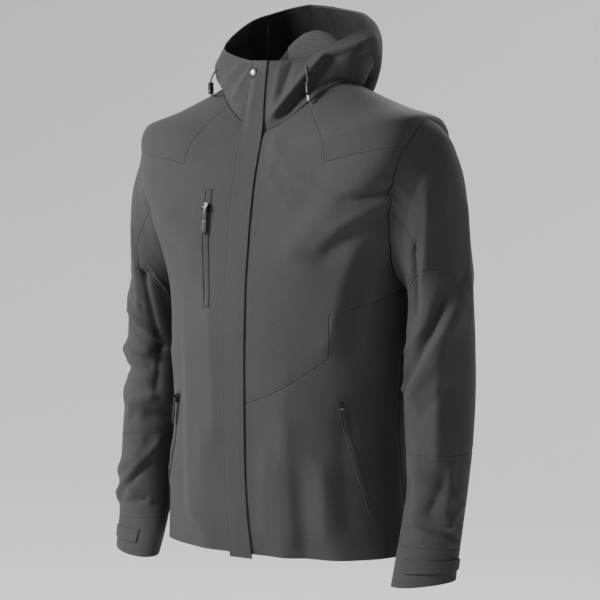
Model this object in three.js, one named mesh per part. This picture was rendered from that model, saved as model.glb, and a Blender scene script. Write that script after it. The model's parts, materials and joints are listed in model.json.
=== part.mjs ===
// Hooded softshell jacket, filled out as if worn, with nobody in it.
// Millimetres, +Z up. The wearer faces -Y and the wearer's left is +X.
// The origin is inside the base of the neck, where the wearer holds the jacket up.
import * as THREE from 'three';

// Cloth and seams
const CLOTH = 2.0;
const FACING_CLOTH = 1.2;
const SEAM_GAP = 0.3;
const SEAM_BEVEL = 0.3;
const LAY_GAP = 0.3;
const FLAP_CLOTH = 2.6;
const FLAP_DROP = 6;

// Front opening: distances from the centre front, + towards the wearer's left
const ZIP_LEFT_EDGE = -3;
const ZIP_RIGHT_EDGE = -12;
const FLAP_FREE_EDGE = 2;
const FLAP_SEAM = -36;

// Levels of the cross seams, measured at the side of the body
const HEM = -690;
const SLANT_SEAM_CENTRE = -470;
const SLANT_SEAM_CORNER = -401;
const SLANT_SEAM_BEND = 1.8;
const CHEST_LEVEL = -340;
const UNDERARM = -300;
const YOKE_SEAM = -95;
const SHOULDER_TIP = -58;
const NECK_SEAM = -3;
const YOKE_POINT_TURN = 47;

// Mesh divisions
const POINT_COLUMN = 7;
const FRONT_COLUMNS = 11;
const BACK_COLUMNS = 6;
const ROWS = { slant: 8, chest: 11, yoke: 19, tip: 22, neck: 27 };
const SLEEVE_ROWS = { elbow: 6, lower: 13, cuff: 17, strapTop: 18, strapLow: 19, end: 20 };

// Rings round the body: level of the ring at the side, at the centre front and at the
// centre back, half width, front and back reach, middle, and squareness
const BODY_RINGS = [
  { side: -690, front: -690, back: -690, half: 196, fore: -121, aft: 125, mid: 0, square: 2.4 },
  { side: -640, front: -640, back: -640, half: 190, fore: -133, aft: 128, mid: 0, square: 2.4 },
  { side: -560, front: -560, back: -560, half: 182, fore: -141, aft: 128, mid: 0, square: 2.4 },
  { side: -470, front: -470, back: -470, half: 178, fore: -143, aft: 122, mid: 0, square: 2.4 },
  { side: -385, front: -385, back: -385, half: 185, fore: -143, aft: 125, mid: 0, square: 2.4 },
  { side: -300, front: -300, back: -300, half: 188, fore: -139, aft: 130, mid: 0, square: 2.6 },
  { side: -240, front: -252, back: -245, half: 198, fore: -133, aft: 131, mid: 0, square: 3.2 },
  { side: -190, front: -215, back: -200, half: 211, fore: -128, aft: 130, mid: 0, square: 4.0 },
  { side: -110, front: -165, back: -130, half: 227, fore: -118, aft: 122, mid: -4, square: 4.5 },
  { side: -58, front: -135, back: -85, half: 225, fore: -110, aft: 105, mid: -5, square: 4.0 },
  { side: -38, front: -110, back: -50, half: 175, fore: -102, aft: 88, mid: -7, square: 3.0 },
  { side: -18, front: -90, back: -15, half: 130, fore: -95, aft: 72, mid: -9, square: 2.6 },
  { side: -3, front: -75, back: 10, half: 98, fore: -88, aft: 58, mid: -10, square: 2.4 },
];

// Armhole edge: degrees round from the centre front, ahead of the arm and behind it
const ARMHOLE = [
  { level: -300, ahead: 90, behind: 90 },
  { level: -292, ahead: 84, behind: 97 },
  { level: -282, ahead: 79, behind: 102 },
  { level: -240, ahead: 72, behind: 107 },
  { level: -195, ahead: 68.5, behind: 109 },
  { level: -155, ahead: 68.2, behind: 109.5 },
  { level: -110, ahead: 70.4, behind: 108 },
  { level: -81, ahead: 76.4, behind: 102 },
  { level: -66, ahead: 83, behind: 95.5 },
  { level: -58, ahead: 90, behind: 90 },
];

// Sleeve sections of the wearer's left arm from below the armhole to the cuff's mouth:
// outer and inner point of each, and half depth from front to back
const SLEEVE_SECTIONS = [
  { outX: 251, outY: 6, outZ: -90, inX: 196, inY: 4, inZ: -307, deep: 77 },
  { outX: 266, outY: 12, outZ: -135, inX: 199, inY: 6, inZ: -316, deep: 78 },
  { outX: 273, outY: 15, outZ: -190, inX: 199, inY: 8, inZ: -330, deep: 75 },
  { outX: 278, outY: 16, outZ: -250, inX: 198, inY: 8, inZ: -350, deep: 70 },
  { outX: 283, outY: 14, outZ: -310, inX: 196, inY: 7, inZ: -375, deep: 69 },
  { outX: 287, outY: 10, outZ: -365, inX: 194, inY: 6, inZ: -401, deep: 67 },
  { outX: 290, outY: 6, outZ: -415, inX: 193, inY: 4, inZ: -433, deep: 65 },
  { outX: 291.5, outY: 3, outZ: -460, inX: 193, inY: 3, inZ: -468, deep: 62 },
  { outX: 293, outY: -5, outZ: -520, inX: 199, inY: -7, inZ: -522, deep: 57 },
  { outX: 292, outY: -14, outZ: -579, inX: 206, inY: -18, inZ: -579, deep: 52 },
  { outX: 291, outY: -22, outZ: -625, inX: 205, inY: -34, inZ: -622, deep: 44 },
  { outX: 289, outY: -26, outZ: -668, inX: 204, inY: -52, inZ: -664, deep: 35 },
  { outX: 286, outY: -34, outZ: -712, inX: 206, inY: -80, inZ: -722, deep: 30 },
];
const ELBOW_SEAM = { middle: 3.9, outward: 0.92, forward: -0.45 };
const LOWER_SLEEVE_SEAM = 9.25;
const CUFF_SEAM = 12;
const CUFF_END = 13;
const UNDER_SLEEVE = { from: -5, to: 5 };

// Mouth of the hood: place of the rim by degrees round, how far the side bellies out,
// and how far it sags on the shoulder
const HOOD_RIM = [
  { turn: -180, x: -4, y: 80, z: 122, belly: 0, sag: 0 },
  { turn: -167, x: -20, y: 78, z: 123, belly: 2, sag: 10 },
  { turn: -143, x: -65, y: 75, z: 116, belly: 6, sag: 36 },
  { turn: -119, x: -100, y: 45, z: 99, belly: 12, sag: 38 },
  { turn: -80, x: -104, y: -28, z: 54, belly: 14, sag: 12 },
  { turn: -54, x: -55, y: -52, z: 33, belly: 8, sag: 3 },
  { turn: 0, x: 0, y: -75, z: 26, belly: 3, sag: 0 },
  { turn: 48, x: 50, y: -55, z: 31, belly: 8, sag: 4 },
  { turn: 72, x: 70, y: -33, z: 46, belly: 20, sag: 10 },
  { turn: 89, x: 88, y: -12, z: 58, belly: 30, sag: 20 },
  { turn: 112, x: 100, y: 30, z: 80, belly: 26, sag: 36 },
  { turn: 135, x: 85, y: 75, z: 102, belly: 12, sag: 38 },
  { turn: 162, x: 30, y: 82, z: 117, belly: 3, sag: 14 },
  { turn: 180, x: -4, y: 80, z: 122, belly: 0, sag: 0 },
];
const SAG_SPREAD = 1.6;
// The laid-back hood at the centre back, from the neck seam over the nape fold and round
// the bag to the rim, as distance behind the neck seam and height over it
const HOOD_BAG = [
  { out: 0, up: 0 },
  { out: 0, up: 24 },
  { out: 2, up: 46 },
  { out: 6, up: 62 },
  { out: 14, up: 69 },
  { out: 22, up: 60 },
  { out: 27, up: 36 },
  { out: 32, up: -5 },
  { out: 40, up: -45 },
  { out: 54, up: -72 },
  { out: 72, up: -70 },
  { out: 84, up: -40 },
  { out: 86, up: 10 },
  { out: 79, up: 52 },
  { out: 56, up: 90 },
  { out: 20, up: 112 },
];
const HOOD_ROWS = HOOD_BAG.length - 1;
const BAG_START_TURN = 98;
const CROWN_TURN = 138;
const NAPE_ROW = 4;

// Largest folds of the body: a ridge (or a trough, below zero) from A to B
const BODY_FOLDS = [
  { turnA: 64, levelA: -105, turnB: 30, levelB: -235, width: 20, height: 6 },
  { turnA: 66, levelA: -150, turnB: 45, levelB: -260, width: 16, height: -5 },
  { turnA: 16, levelA: -30, turnB: 34, levelB: -130, width: 14, height: 3 },
  { turnA: -62, levelA: -130, turnB: -35, levelB: -230, width: 18, height: 3 },
  { turnA: 24, levelA: -690, turnB: 20, levelB: -560, width: 22, height: 5 },
  { turnA: 52, levelA: -690, turnB: 46, levelB: -580, width: 20, height: 5 },
  { turnA: 38, levelA: -690, turnB: 34, levelB: -590, width: 16, height: -4 },
  { turnA: -34, levelA: -690, turnB: -28, levelB: -520, width: 22, height: 4 },
  { turnA: -70, levelA: -690, turnB: -66, levelB: -560, width: 20, height: 4 },
  { turnA: 120, levelA: -690, turnB: 125, levelB: -540, width: 26, height: 6 },
  { turnA: 165, levelA: -690, turnB: 160, levelB: -560, width: 26, height: 5 },
  { turnA: -130, levelA: -690, turnB: -135, levelB: -550, width: 26, height: 6 },
  { turnA: 112, levelA: -240, turnB: 150, levelB: -330, width: 20, height: 5 },
  { turnA: -112, levelA: -240, turnB: -150, levelB: -330, width: 20, height: 5 },
  { turnA: 100, levelA: -460, turnB: 160, levelB: -430, width: 20, height: 4 },
  { turnA: -100, levelA: -460, turnB: -160, levelB: -430, width: 20, height: 4 },
];
const FOLD_MM_PER_DEGREE = 2.6;

// Largest folds of the sleeves, by degrees round (0 outward, 90 forward) and section
const SLEEVE_FOLDS = {
  left: [
    { roundA: 20, sectionA: 5.2, roundB: 110, sectionB: 7.6, width: 18, height: 7 },
    { roundA: 60, sectionA: 5.0, roundB: 125, sectionB: 7.0, width: 15, height: -6 },
    { roundA: 30, sectionA: 10.4, roundB: 120, sectionB: 9.6, width: 14, height: 5 },
    { roundA: 20, sectionA: 11.4, roundB: 110, sectionB: 10.9, width: 12, height: 4 },
    { roundA: 240, sectionA: 6.0, roundB: 300, sectionB: 7.2, width: 16, height: 5 },
    { roundA: 350, sectionA: 3.0, roundB: 360, sectionB: 5.5, width: 14, height: 4 },
  ],
  right: [
    { roundA: 20, sectionA: 6.9, roundB: 110, sectionB: 6.5, width: 14, height: 8 },
    { roundA: 30, sectionA: 7.5, roundB: 110, sectionB: 7.2, width: 12, height: -6 },
    { roundA: 40, sectionA: 5.1, roundB: 120, sectionB: 5.6, width: 12, height: 4 },
    { roundA: 20, sectionA: 8.1, roundB: 100, sectionB: 8.7, width: 12, height: 5 },
    { roundA: 10, sectionA: 10.6, roundB: 100, sectionB: 9.9, width: 12, height: 5 },
    { roundA: 10, sectionA: 11.5, roundB: 100, sectionB: 11.1, width: 10, height: 4 },
    { roundA: 240, sectionA: 6.2, roundB: 310, sectionB: 7.0, width: 16, height: 5 },
  ],
};

// Zip pockets: the chest one on the wearer's right, the hand ones on both sides
// Each slider is closed this many steps below the top of its zip.
const CHEST_ZIP = {
  top: { turn: -31, z: -160 }, low: { turn: -25.5, z: -331 }, wide: 12, closed: 3,
};
const HAND_ZIP = {
  top: { turn: 52.5, z: -462 }, low: { turn: 68, z: -628 }, wide: 9, closed: 1,
};
const ZIP_TAPE = 1.2;
const ZIP_LIFT = 1.2;
const STRIP_STEP = 9;
const SLIDER = { wide: 9, tall: 13, deep: 2.6, cheek: 1.4, reach: 3.2 };
const PULL = { wide: 5.4, deep: 2.0, neck: 9, long: 40, tabWide: 8.4, pivot: 1.9 };
const PULL_STEPS = 4;
const PULL_END_LIFT = 4.4;
const RAY_START = 600;
const HOOD_RAY_START = 60;
const SNAP = { turn: -17.5, row: 12, radius: 6.2, crown: 0.8, deep: 2.2, lift: 0.9, sides: 20 };
const CUFF_TAB = { from: 3, to: 11 };
const FACING = { column: 3, row: 10 };
const LINING = { column: 4 };

// Hood drawcords
const CORD_DIAMETER = 2.6;
const CORD_SIDES = 8;
const CORD_STEPS = 26;
const LOCK = { bore: 1.75, radius: 4.6, waist: 3.9, length: 17 };
const TIP = { radius: 2.6, length: 9 };
const EYELET = { bore: 1.7, radius: 4.2, deep: 1.2 };
const CORD_RISE = 4.5;
const CORD_END = 1.5;
// Places on the hood, by degrees round and row: eyelet, top of the lock and, where the
// cord runs back to the neck seam, its end. The lock hangs this far from the cloth.
const LEFT_CORD = { turn: 48, eyeletRow: 11, lockRow: 6, away: 8 };
const RIGHT_CORD = { turn: -72, eyeletRow: 8, lockRow: 5, away: 12, endTurn: -60, endRow: 3 };

// Colours, as the cloth and the hardware look in daylight
const FINISHES = {
  shell: new THREE.MeshStandardMaterial({ color: 0x4c4c4d, roughness: 0.85, metalness: 0 }),
  lining: new THREE.MeshStandardMaterial({ color: 0x1a1a1b, roughness: 0.9, metalness: 0 }),
  zip: new THREE.MeshStandardMaterial({ color: 0x202021, roughness: 0.6, metalness: 0 }),
  pull: new THREE.MeshStandardMaterial({ color: 0x0f0f10, roughness: 0.45, metalness: 0 }),
  cord: new THREE.MeshStandardMaterial({ color: 0x141415, roughness: 0.8, metalness: 0 }),
  metal: new THREE.MeshStandardMaterial({ color: 0x8e8f92, roughness: 0.35, metalness: 1 }),
};

const jacket = new THREE.Group();
const UP = new THREE.Vector3(0, 0, 1);
const radians = THREE.MathUtils.degToRad;
const degrees = THREE.MathUtils.radToDeg;
const lerp = THREE.MathUtils.lerp;
const clamp = THREE.MathUtils.clamp;

function addMesh(name, geometry, finish) {
  const mesh = new THREE.Mesh(geometry, FINISHES[finish]);
  mesh.name = name;
  jacket.add(mesh);
  return mesh;
}

// Every column of a table at one value of its key column, by a smooth curve through the rows
function sample(rows, key, at) {
  const last = rows.length - 1;
  let index = 0;
  while (index < last - 1 && at > rows[index + 1][key]) index += 1;
  const before = rows[Math.max(index - 1, 0)];
  const from = rows[index];
  const to = rows[index + 1];
  const after = rows[Math.min(index + 2, last)];
  const span = to[key] - from[key];
  const t = clamp((at - from[key]) / span, 0, 1);
  const result = {};
  for (const column of Object.keys(from)) {
    const slopeFrom = (to[column] - before[column]) / (to[key] - before[key]) * span;
    const slopeTo = (after[column] - from[column]) / (after[key] - from[key]) * span;
    const rise = to[column] - from[column];
    const curve = slopeFrom * t * (1 - t) ** 2 - slopeTo * t * t * (1 - t);
    result[column] = from[column] + rise * t * t * (3 - 2 * t) + curve;
  }
  return result;
}

// Height of a fold at (u, v), both in millimetres, for a ridge from A to B
function ridge(u, v, fold, uA, vA, uB, vB) {
  const length = Math.hypot(uB - uA, vB - vA);
  const along = ((u - uA) * (uB - uA) + (v - vA) * (vB - vA)) / length / length;
  const nearest = clamp(along, 0, 1);
  const away = Math.hypot(u - lerp(uA, uB, nearest), v - lerp(vA, vB, nearest));
  return fold.height * Math.exp(-((away / fold.width) ** 2));
}

// Point of the body's surface, by degrees round from the centre front and level at the side
function bodyPoint(turn, level) {
  const ring = sample(BODY_RINGS, 'side', level);
  const across = Math.sin(radians(turn));
  const along = -Math.cos(radians(turn));
  const depth = along < 0 ? ring.mid - ring.fore : ring.aft - ring.mid;
  const centre = along < 0 ? ring.front : ring.back;
  const power = ring.square;
  const reach = (Math.abs(across / ring.half) ** power + Math.abs(along / depth) ** power)
    ** (-1 / power);
  let fold = 0;
  for (const row of BODY_FOLDS) {
    fold += ridge(turn * FOLD_MM_PER_DEGREE, level, row, row.turnA * FOLD_MM_PER_DEGREE,
      row.levelA, row.turnB * FOLD_MM_PER_DEGREE, row.levelB);
  }
  const out = reach + fold;
  return new THREE.Vector3(out * across, ring.mid + out * along,
    ring.side + (centre - ring.side) * along * along);
}

// Degrees round from the centre front for each column of one front
function frontTurns(side, depth, limit) {
  const edge = side > 0 ? ZIP_LEFT_EDGE : ZIP_RIGHT_EDGE;
  const flap = side > 0 ? FLAP_FREE_EDGE : FLAP_SEAM;
  const edgeTurn = degrees(Math.atan2(edge, depth));
  const flapTurn = degrees(Math.atan2(flap, depth));
  const turns = [edgeTurn, flapTurn];
  for (let i = 2; i <= FRONT_COLUMNS; i += 1) {
    if (i <= POINT_COLUMN) {
      turns.push(lerp(flapTurn, side * YOKE_POINT_TURN, (i - 1) / (POINT_COLUMN - 1)));
    } else {
      const part = (i - POINT_COLUMN) / (FRONT_COLUMNS - POINT_COLUMN);
      turns.push(side * lerp(YOKE_POINT_TURN, limit, part));
    }
  }
  return turns;
}

// Level of a grid row: the rows bend with the slanting seam and the underarm
function rowLevel(row, frontColumn) {
  const inner = clamp(frontColumn / POINT_COLUMN, 0, 1);
  const outer = clamp((frontColumn - POINT_COLUMN) / (FRONT_COLUMNS - POINT_COLUMN), 0, 1);
  const slant = lerp(SLANT_SEAM_CENTRE, SLANT_SEAM_CORNER, inner ** SLANT_SEAM_BEND);
  const chest = lerp(CHEST_LEVEL, UNDERARM, outer);
  const part = (from, to) => (row - from) / (to - from);
  if (row <= ROWS.slant) return lerp(HEM, slant, part(0, ROWS.slant));
  if (row <= ROWS.chest) return lerp(slant, chest, part(ROWS.slant, ROWS.chest));
  if (row <= ROWS.yoke) return lerp(chest, YOKE_SEAM, part(ROWS.chest, ROWS.yoke) ** 1.25);
  if (row <= ROWS.tip) return lerp(YOKE_SEAM, SHOULDER_TIP, part(ROWS.yoke, ROWS.tip));
  return lerp(SHOULDER_TIP, NECK_SEAM, part(ROWS.tip, ROWS.neck));
}

function armholeTurns(level) {
  if (level <= UNDERARM || level >= SHOULDER_TIP) return { ahead: 90, behind: 90 };
  return sample(ARMHOLE, 'level', level);
}

function frontPoint(side, column, row) {
  const level = rowLevel(row, column);
  const ring = sample(BODY_RINGS, 'side', level);
  const limit = armholeTurns(level).ahead;
  return bodyPoint(frontTurns(side, ring.mid - ring.fore, limit)[column], level);
}

function backPoint(side, column, row) {
  const level = rowLevel(row, FRONT_COLUMNS);
  const limit = armholeTurns(level).behind;
  return bodyPoint(side * lerp(limit, 180, column / BACK_COLUMNS), level);
}

// Point of the hood, by degrees round and row from the neck seam to the rim
function hoodPoint(turn, row) {
  const seam = bodyPoint(turn, NECK_SEAM);
  const rimRow = sample(HOOD_RIM, 'turn', turn);
  const rim = new THREE.Vector3(rimRow.x, rimRow.y, rimRow.z);
  const out = new THREE.Vector3(Math.sin(radians(turn)), -Math.cos(radians(turn)), 0);
  const part = row / HOOD_ROWS;
  const plain = seam.clone().lerp(rim, part);
  plain.addScaledVector(out, rimRow.belly * Math.sin(Math.PI * part));
  plain.addScaledVector(UP, -rimRow.sag * Math.sin(Math.PI * Math.min(part * SAG_SPREAD, 1)) ** 2);
  const last = HOOD_BAG[HOOD_ROWS];
  const shape = HOOD_BAG[row];
  const bag = seam.clone().addScaledVector(out, shape.out).addScaledVector(UP, shape.up);
  const end = seam.clone().addScaledVector(out, last.out).addScaledVector(UP, last.up);
  bag.addScaledVector(rim.clone().sub(end), part ** 3);
  return plain.lerp(bag, THREE.MathUtils.smoothstep(Math.abs(turn), BAG_START_TURN, 180));
}

function hoodTurn(side, column, row) {
  const depth = -hoodPoint(0, row).y + BODY_RINGS[BODY_RINGS.length - 1].mid;
  return frontTurns(side, depth, 90)[column];
}

// The shell as one sheet of four-sided cells, each with the name of the piece it is cut to
const points = [];
const pointIndex = new Map();
const cells = [];

function pointId(point) {
  const key = [point.x, point.y, point.z].map((value) => Math.round(value * 100)).join(' ');
  if (!pointIndex.has(key)) {
    pointIndex.set(key, points.length);
    points.push(point);
  }
  return pointIndex.get(key);
}

function addCells(patch, pointAt, columns, rows, nameAt, turned) {
  for (let column = columns[0]; column < columns[1]; column += 1) {
    for (let row = rows[0]; row < rows[1]; row += 1) {
      const [a, b, c, d] = [pointAt(column, row), pointAt(column + 1, row),
        pointAt(column + 1, row + 1), pointAt(column, row + 1)].map(pointId);
      const corners = turned ? [a, d, c, b] : [a, b, c, d];
      if (points[a].distanceTo(points[c]) > points[b].distanceTo(points[d])) {
        corners.push(corners.shift());
      }
      cells.push({ name: nameAt(column, row), patch, corners, column, row });
    }
  }
}

function frontPiece(side, column, row) {
  const outer = column >= POINT_COLUMN;
  if (row >= ROWS.yoke && outer) return side > 0 ? 'yoke_left' : 'yoke_right';
  if (side < 0) return 'front_right';
  if (row < ROWS.slant || (outer && row < ROWS.chest)) return 'front_left_lower';
  return 'front_left_upper';
}

function backPiece(side, row) {
  if (row < ROWS.yoke) return 'back';
  return side > 0 ? 'yoke_left' : 'yoke_right';
}

function hoodPiece(side, turn) {
  if (Math.abs(turn) >= CROWN_TURN) return 'hood_crown';
  return side > 0 ? 'hood_left' : 'hood_right';
}

function hoodBackPoint(side, column, row) {
  return hoodPoint(side * lerp(90, 180, column / BACK_COLUMNS), row);
}

for (const side of [1, -1]) {
  const turned = side < 0;
  const hand = side > 0 ? 'left' : 'right';
  addCells(`front ${hand}`, (i, r) => frontPoint(side, i, r), [0, FRONT_COLUMNS],
    [0, ROWS.neck], (i, r) => frontPiece(side, i, r), turned);
  addCells(`back ${hand}`, (i, r) => backPoint(side, i, r), [0, BACK_COLUMNS],
    [0, ROWS.neck], (i, r) => backPiece(side, r), turned);
  addCells(`collar ${hand}`, (i, r) => hoodPoint(hoodTurn(side, i, r), r),
    [0, FRONT_COLUMNS], [0, HOOD_ROWS], () => hoodPiece(side, 0), turned);
  addCells(`nape ${hand}`, (i, r) => hoodBackPoint(side, i, r), [0, BACK_COLUMNS],
    [0, HOOD_ROWS], (i) => hoodPiece(side, 90 + 90 * (i + 0.5) / BACK_COLUMNS), turned);
}
const zipSide = (column) => (column === 0 ? -1 : 1);
addCells('zip', (i, r) => frontPoint(zipSide(i), 0, r), [0, 1], [0, ROWS.neck],
  () => 'front_zip', false);
addCells('zip', (i, r) => hoodPoint(hoodTurn(zipSide(i), 0, r), r), [0, 1], [0, HOOD_ROWS],
  () => 'front_zip', false);

// Sleeves: one curve down the arm from each point of the armhole
const ARMHOLE_ROWS = ROWS.tip - ROWS.chest;
const SLEEVE_ROUND = 2 * ARMHOLE_ROWS;

function armholePoint(side, around) {
  if (around <= ARMHOLE_ROWS) return frontPoint(side, FRONT_COLUMNS, ROWS.chest + around);
  return backPoint(side, 0, ROWS.chest + SLEEVE_ROUND - around);
}

function sectionPoint(side, round, section) {
  const row = sample(SLEEVE_SECTIONS.map((entry, index) => ({ ...entry, index: index + 1 })),
    'index', section);
  const outer = new THREE.Vector3(side * row.outX, row.outY, row.outZ);
  const inner = new THREE.Vector3(side * row.inX, row.inY, row.inZ);
  const centre = outer.clone().add(inner).multiplyScalar(0.5);
  const outward = outer.clone().sub(inner).multiplyScalar(0.5);
  const flat = new THREE.Vector3(outward.y, -outward.x, 0).normalize().multiplyScalar(side);
  let fold = 0;
  for (const entry of SLEEVE_FOLDS[side > 0 ? 'left' : 'right']) {
    const scale = Math.PI * row.deep / 180;
    fold += ridge(round * scale, section * 55, entry, entry.roundA * scale,
      entry.sectionA * 55, entry.roundB * scale, entry.sectionB * 55);
  }
  const place = outward.clone().multiplyScalar(Math.cos(radians(round)));
  place.addScaledVector(flat, row.deep * Math.sin(radians(round)));
  return centre.add(place).addScaledVector(place.clone().normalize(), fold);
}

function sleeveSection(row, round) {
  const angle = radians(round);
  const elbow = ELBOW_SEAM.middle + ELBOW_SEAM.outward * Math.cos(angle)
    + ELBOW_SEAM.forward * Math.sin(angle);
  const part = (from, to) => (row - from) / (to - from);
  const { elbow: e, lower, cuff, end } = SLEEVE_ROWS;
  if (row <= e) return elbow * part(0, e);
  if (row <= lower) return lerp(elbow, LOWER_SLEEVE_SEAM, part(e, lower));
  if (row <= cuff) return lerp(LOWER_SLEEVE_SEAM, CUFF_SEAM, part(lower, cuff));
  return lerp(CUFF_SEAM, CUFF_END, part(cuff, end));
}

function sleevePoint(side, around, row) {
  const place = around % SLEEVE_ROUND;
  const round = (180 - 360 * place / SLEEVE_ROUND + 360) % 360;
  const start = armholePoint(side, place);
  const section = sleeveSection(row, round);
  if (row === 0) return start;
  if (section >= 1) return sectionPoint(side, round, section);
  const first = sectionPoint(side, round, 1);
  const second = sectionPoint(side, round, 2);
  const slope = second.sub(start).multiplyScalar(0.5 * section * (1 - section) * section);
  return start.clone().lerp(first, section).addScaledVector(slope, -1);
}

function sleevePiece(side, around, row) {
  const name = side > 0 ? 'left' : 'right';
  if (row >= SLEEVE_ROWS.cuff) return `cuff_${name}`;
  if (row >= SLEEVE_ROWS.lower) return `sleeve_forearm_${name}`;
  if (row >= SLEEVE_ROWS.elbow) return `sleeve_elbow_${name}`;
  const under = around < UNDER_SLEEVE.to || around >= SLEEVE_ROUND + UNDER_SLEEVE.from;
  return under ? `sleeve_under_${name}` : `sleeve_cap_${name}`;
}

for (const side of [1, -1]) {
  addCells(side > 0 ? 'sleeve left' : 'sleeve right', (k, j) => sleevePoint(side, k, j),
    [0, SLEEVE_ROUND], [0, SLEEVE_ROWS.end], (k, j) => sleevePiece(side, k, j), side > 0);
}

// Directions out of the sheet, averaged over the cells at each point
const normals = points.map(() => new THREE.Vector3());
for (const cell of cells) {
  const [a, b, c, d] = cell.corners.map((id) => points[id]);
  const out = c.clone().sub(a).cross(d.clone().sub(b));
  for (const id of cell.corners) normals[id].add(out);
}
for (const normal of normals) normal.normalize();

// A closed wall over some cells: lifted off the sheet, with its edges drawn in
function wallGeometry(chosen, lift, thickness, shift) {
  const edges = new Map();
  for (const cell of chosen) {
    cell.corners.forEach((from, index) => {
      edges.set(`${from} ${cell.corners[(index + 1) % 4]}`, [from, cell.corners[(index + 1) % 4]]);
    });
  }
  const rims = [...edges.values()].filter(([from, to]) => !edges.has(`${to} ${from}`));
  const inward = new Map();
  for (const [from, to] of rims) {
    for (const id of [from, to]) {
      const along = points[to].clone().sub(points[from]);
      const side = normals[id].clone().cross(along).normalize();
      inward.set(id, [...(inward.get(id) ?? []), side]);
    }
  }
  const numbers = new Map();
  const positions = [];
  const half = SEAM_GAP / 2;
  for (const id of new Set(chosen.flatMap((cell) => cell.corners))) {
    const outer = points[id].clone();
    const draw = new THREE.Vector3();
    const sides = inward.get(id);
    if (sides) {
      for (const side of sides) draw.add(side);
      draw.multiplyScalar(sides.length / Math.max(draw.lengthSq(), 1));
    }
    outer.addScaledVector(draw, half);
    if (shift) outer.add(shift(id));
    outer.addScaledVector(normals[id], lift);
    const inner = outer.clone().addScaledVector(normals[id], -thickness);
    inner.addScaledVector(draw, SEAM_BEVEL);
    numbers.set(id, positions.length / 3);
    positions.push(...outer.toArray(), ...inner.toArray());
  }
  const triangles = [];
  for (const cell of chosen) {
    const [a, b, c, d] = cell.corners.map((id) => numbers.get(id));
    triangles.push(a, b, c, a, c, d);
    triangles.push(a + 1, c + 1, b + 1, a + 1, d + 1, c + 1);
  }
  for (const [from, to] of rims) {
    const a = numbers.get(from);
    const b = numbers.get(to);
    if (from < to) triangles.push(a, a + 1, b + 1, a, b + 1, b);
    else triangles.push(a, a + 1, b, a + 1, b + 1, b);
  }
  const geometry = new THREE.BufferGeometry();
  geometry.setAttribute('position', new THREE.Float32BufferAttribute(positions, 3));
  geometry.setIndex(triangles);
  return geometry;
}

for (const name of new Set(cells.map((cell) => cell.name))) {
  const chosen = cells.filter((cell) => cell.name === name);
  addMesh(name, wallGeometry(chosen, 0, CLOTH), name === 'front_zip' ? 'zip' : 'shell');
}

// Storm flap: sewn to the right front, it covers the zip and reaches below the hem
function addStormFlap() {
  const chosen = cells.filter(({ patch, column }) => patch === 'zip'
    || (column === 0 && /^(front|collar)/.test(patch)));
  const drop = (id) => new THREE.Vector3(0, 0, points[id].z < HEM + 1 ? -FLAP_DROP : 0);
  addMesh('storm_flap', wallGeometry(chosen, LAY_GAP + FLAP_CLOTH, FLAP_CLOTH, drop), 'shell');
}

// Strap across the front of each cuff
function addCuffTabs() {
  for (const hand of ['left', 'right']) {
    const chosen = cells.filter(({ patch, column, row }) => patch === `sleeve ${hand}`
      && row === SLEEVE_ROWS.strapTop && column >= CUFF_TAB.from && column < CUFF_TAB.to);
    addMesh(`cuff_tab_${hand}`, wallGeometry(chosen, LAY_GAP + CLOTH, CLOTH), 'shell');
  }
}

// Facing inside the crown behind the mouth, and the mesh lining inside the nape
function addHoodInside() {
  const facing = cells.filter(({ patch, column, row }) => patch === 'nape left'
    && column >= FACING.column && row >= FACING.row);
  addMesh('crown_facing', wallGeometry(facing, -CLOTH - LAY_GAP, FACING_CLOTH), 'shell');
  const lining = cells.filter(({ patch, column, row }) => /^nape/.test(patch)
    && column >= LINING.column && row < NAPE_ROW);
  addMesh('neck_lining', wallGeometry(lining, -CLOTH - LAY_GAP, FACING_CLOTH), 'lining');
}

// The fronts and the hood as one surface, to find the places of what is fastened on them
function sheetSurface() {
  const chosen = cells.filter(({ patch }) => /^(front|collar|nape)/.test(patch));
  const geometry = new THREE.BufferGeometry();
  geometry.setAttribute('position', new THREE.Float32BufferAttribute(
    points.flatMap((point) => point.toArray()), 3));
  geometry.setIndex(chosen.flatMap(({ corners: [a, b, c, d] }) => [a, b, c, a, c, d]));
  return new THREE.Mesh(geometry, new THREE.MeshStandardMaterial({ side: THREE.DoubleSide }));
}

function hitSheet(surface, origin, direction) {
  return new THREE.Raycaster(origin, direction).intersectObject(surface)[0];
}

function onFront(surface, turn, z) {
  const out = new THREE.Vector3(Math.sin(radians(turn)), -Math.cos(radians(turn)), 0);
  const origin = out.clone().multiplyScalar(RAY_START).setZ(z);
  return hitSheet(surface, origin, out.negate());
}

// Places along a zip, top first: centre, direction out of the cloth, across and down
function zipPlaces(surface, zip, side) {
  const count = Math.round((zip.top.z - zip.low.z) / STRIP_STEP);
  const hits = [];
  for (let i = 0; i <= count; i += 1) {
    const turn = side * lerp(zip.top.turn, zip.low.turn, i / count);
    hits.push(onFront(surface, turn, lerp(zip.top.z, zip.low.z, i / count)));
  }
  return hits.map((hit, i) => {
    const down = hits[Math.min(i + 1, count)].point.clone()
      .sub(hits[Math.max(i - 1, 0)].point).normalize();
    const out = new THREE.Vector3();
    for (const other of hits.slice(Math.max(i - 1, 0), i + 2)) out.add(other.face.normal);
    out.addScaledVector(down, -out.dot(down)).normalize();
    const across = down.clone().cross(out).normalize();
    return { point: hit.point, out, across, down };
  });
}

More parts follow.
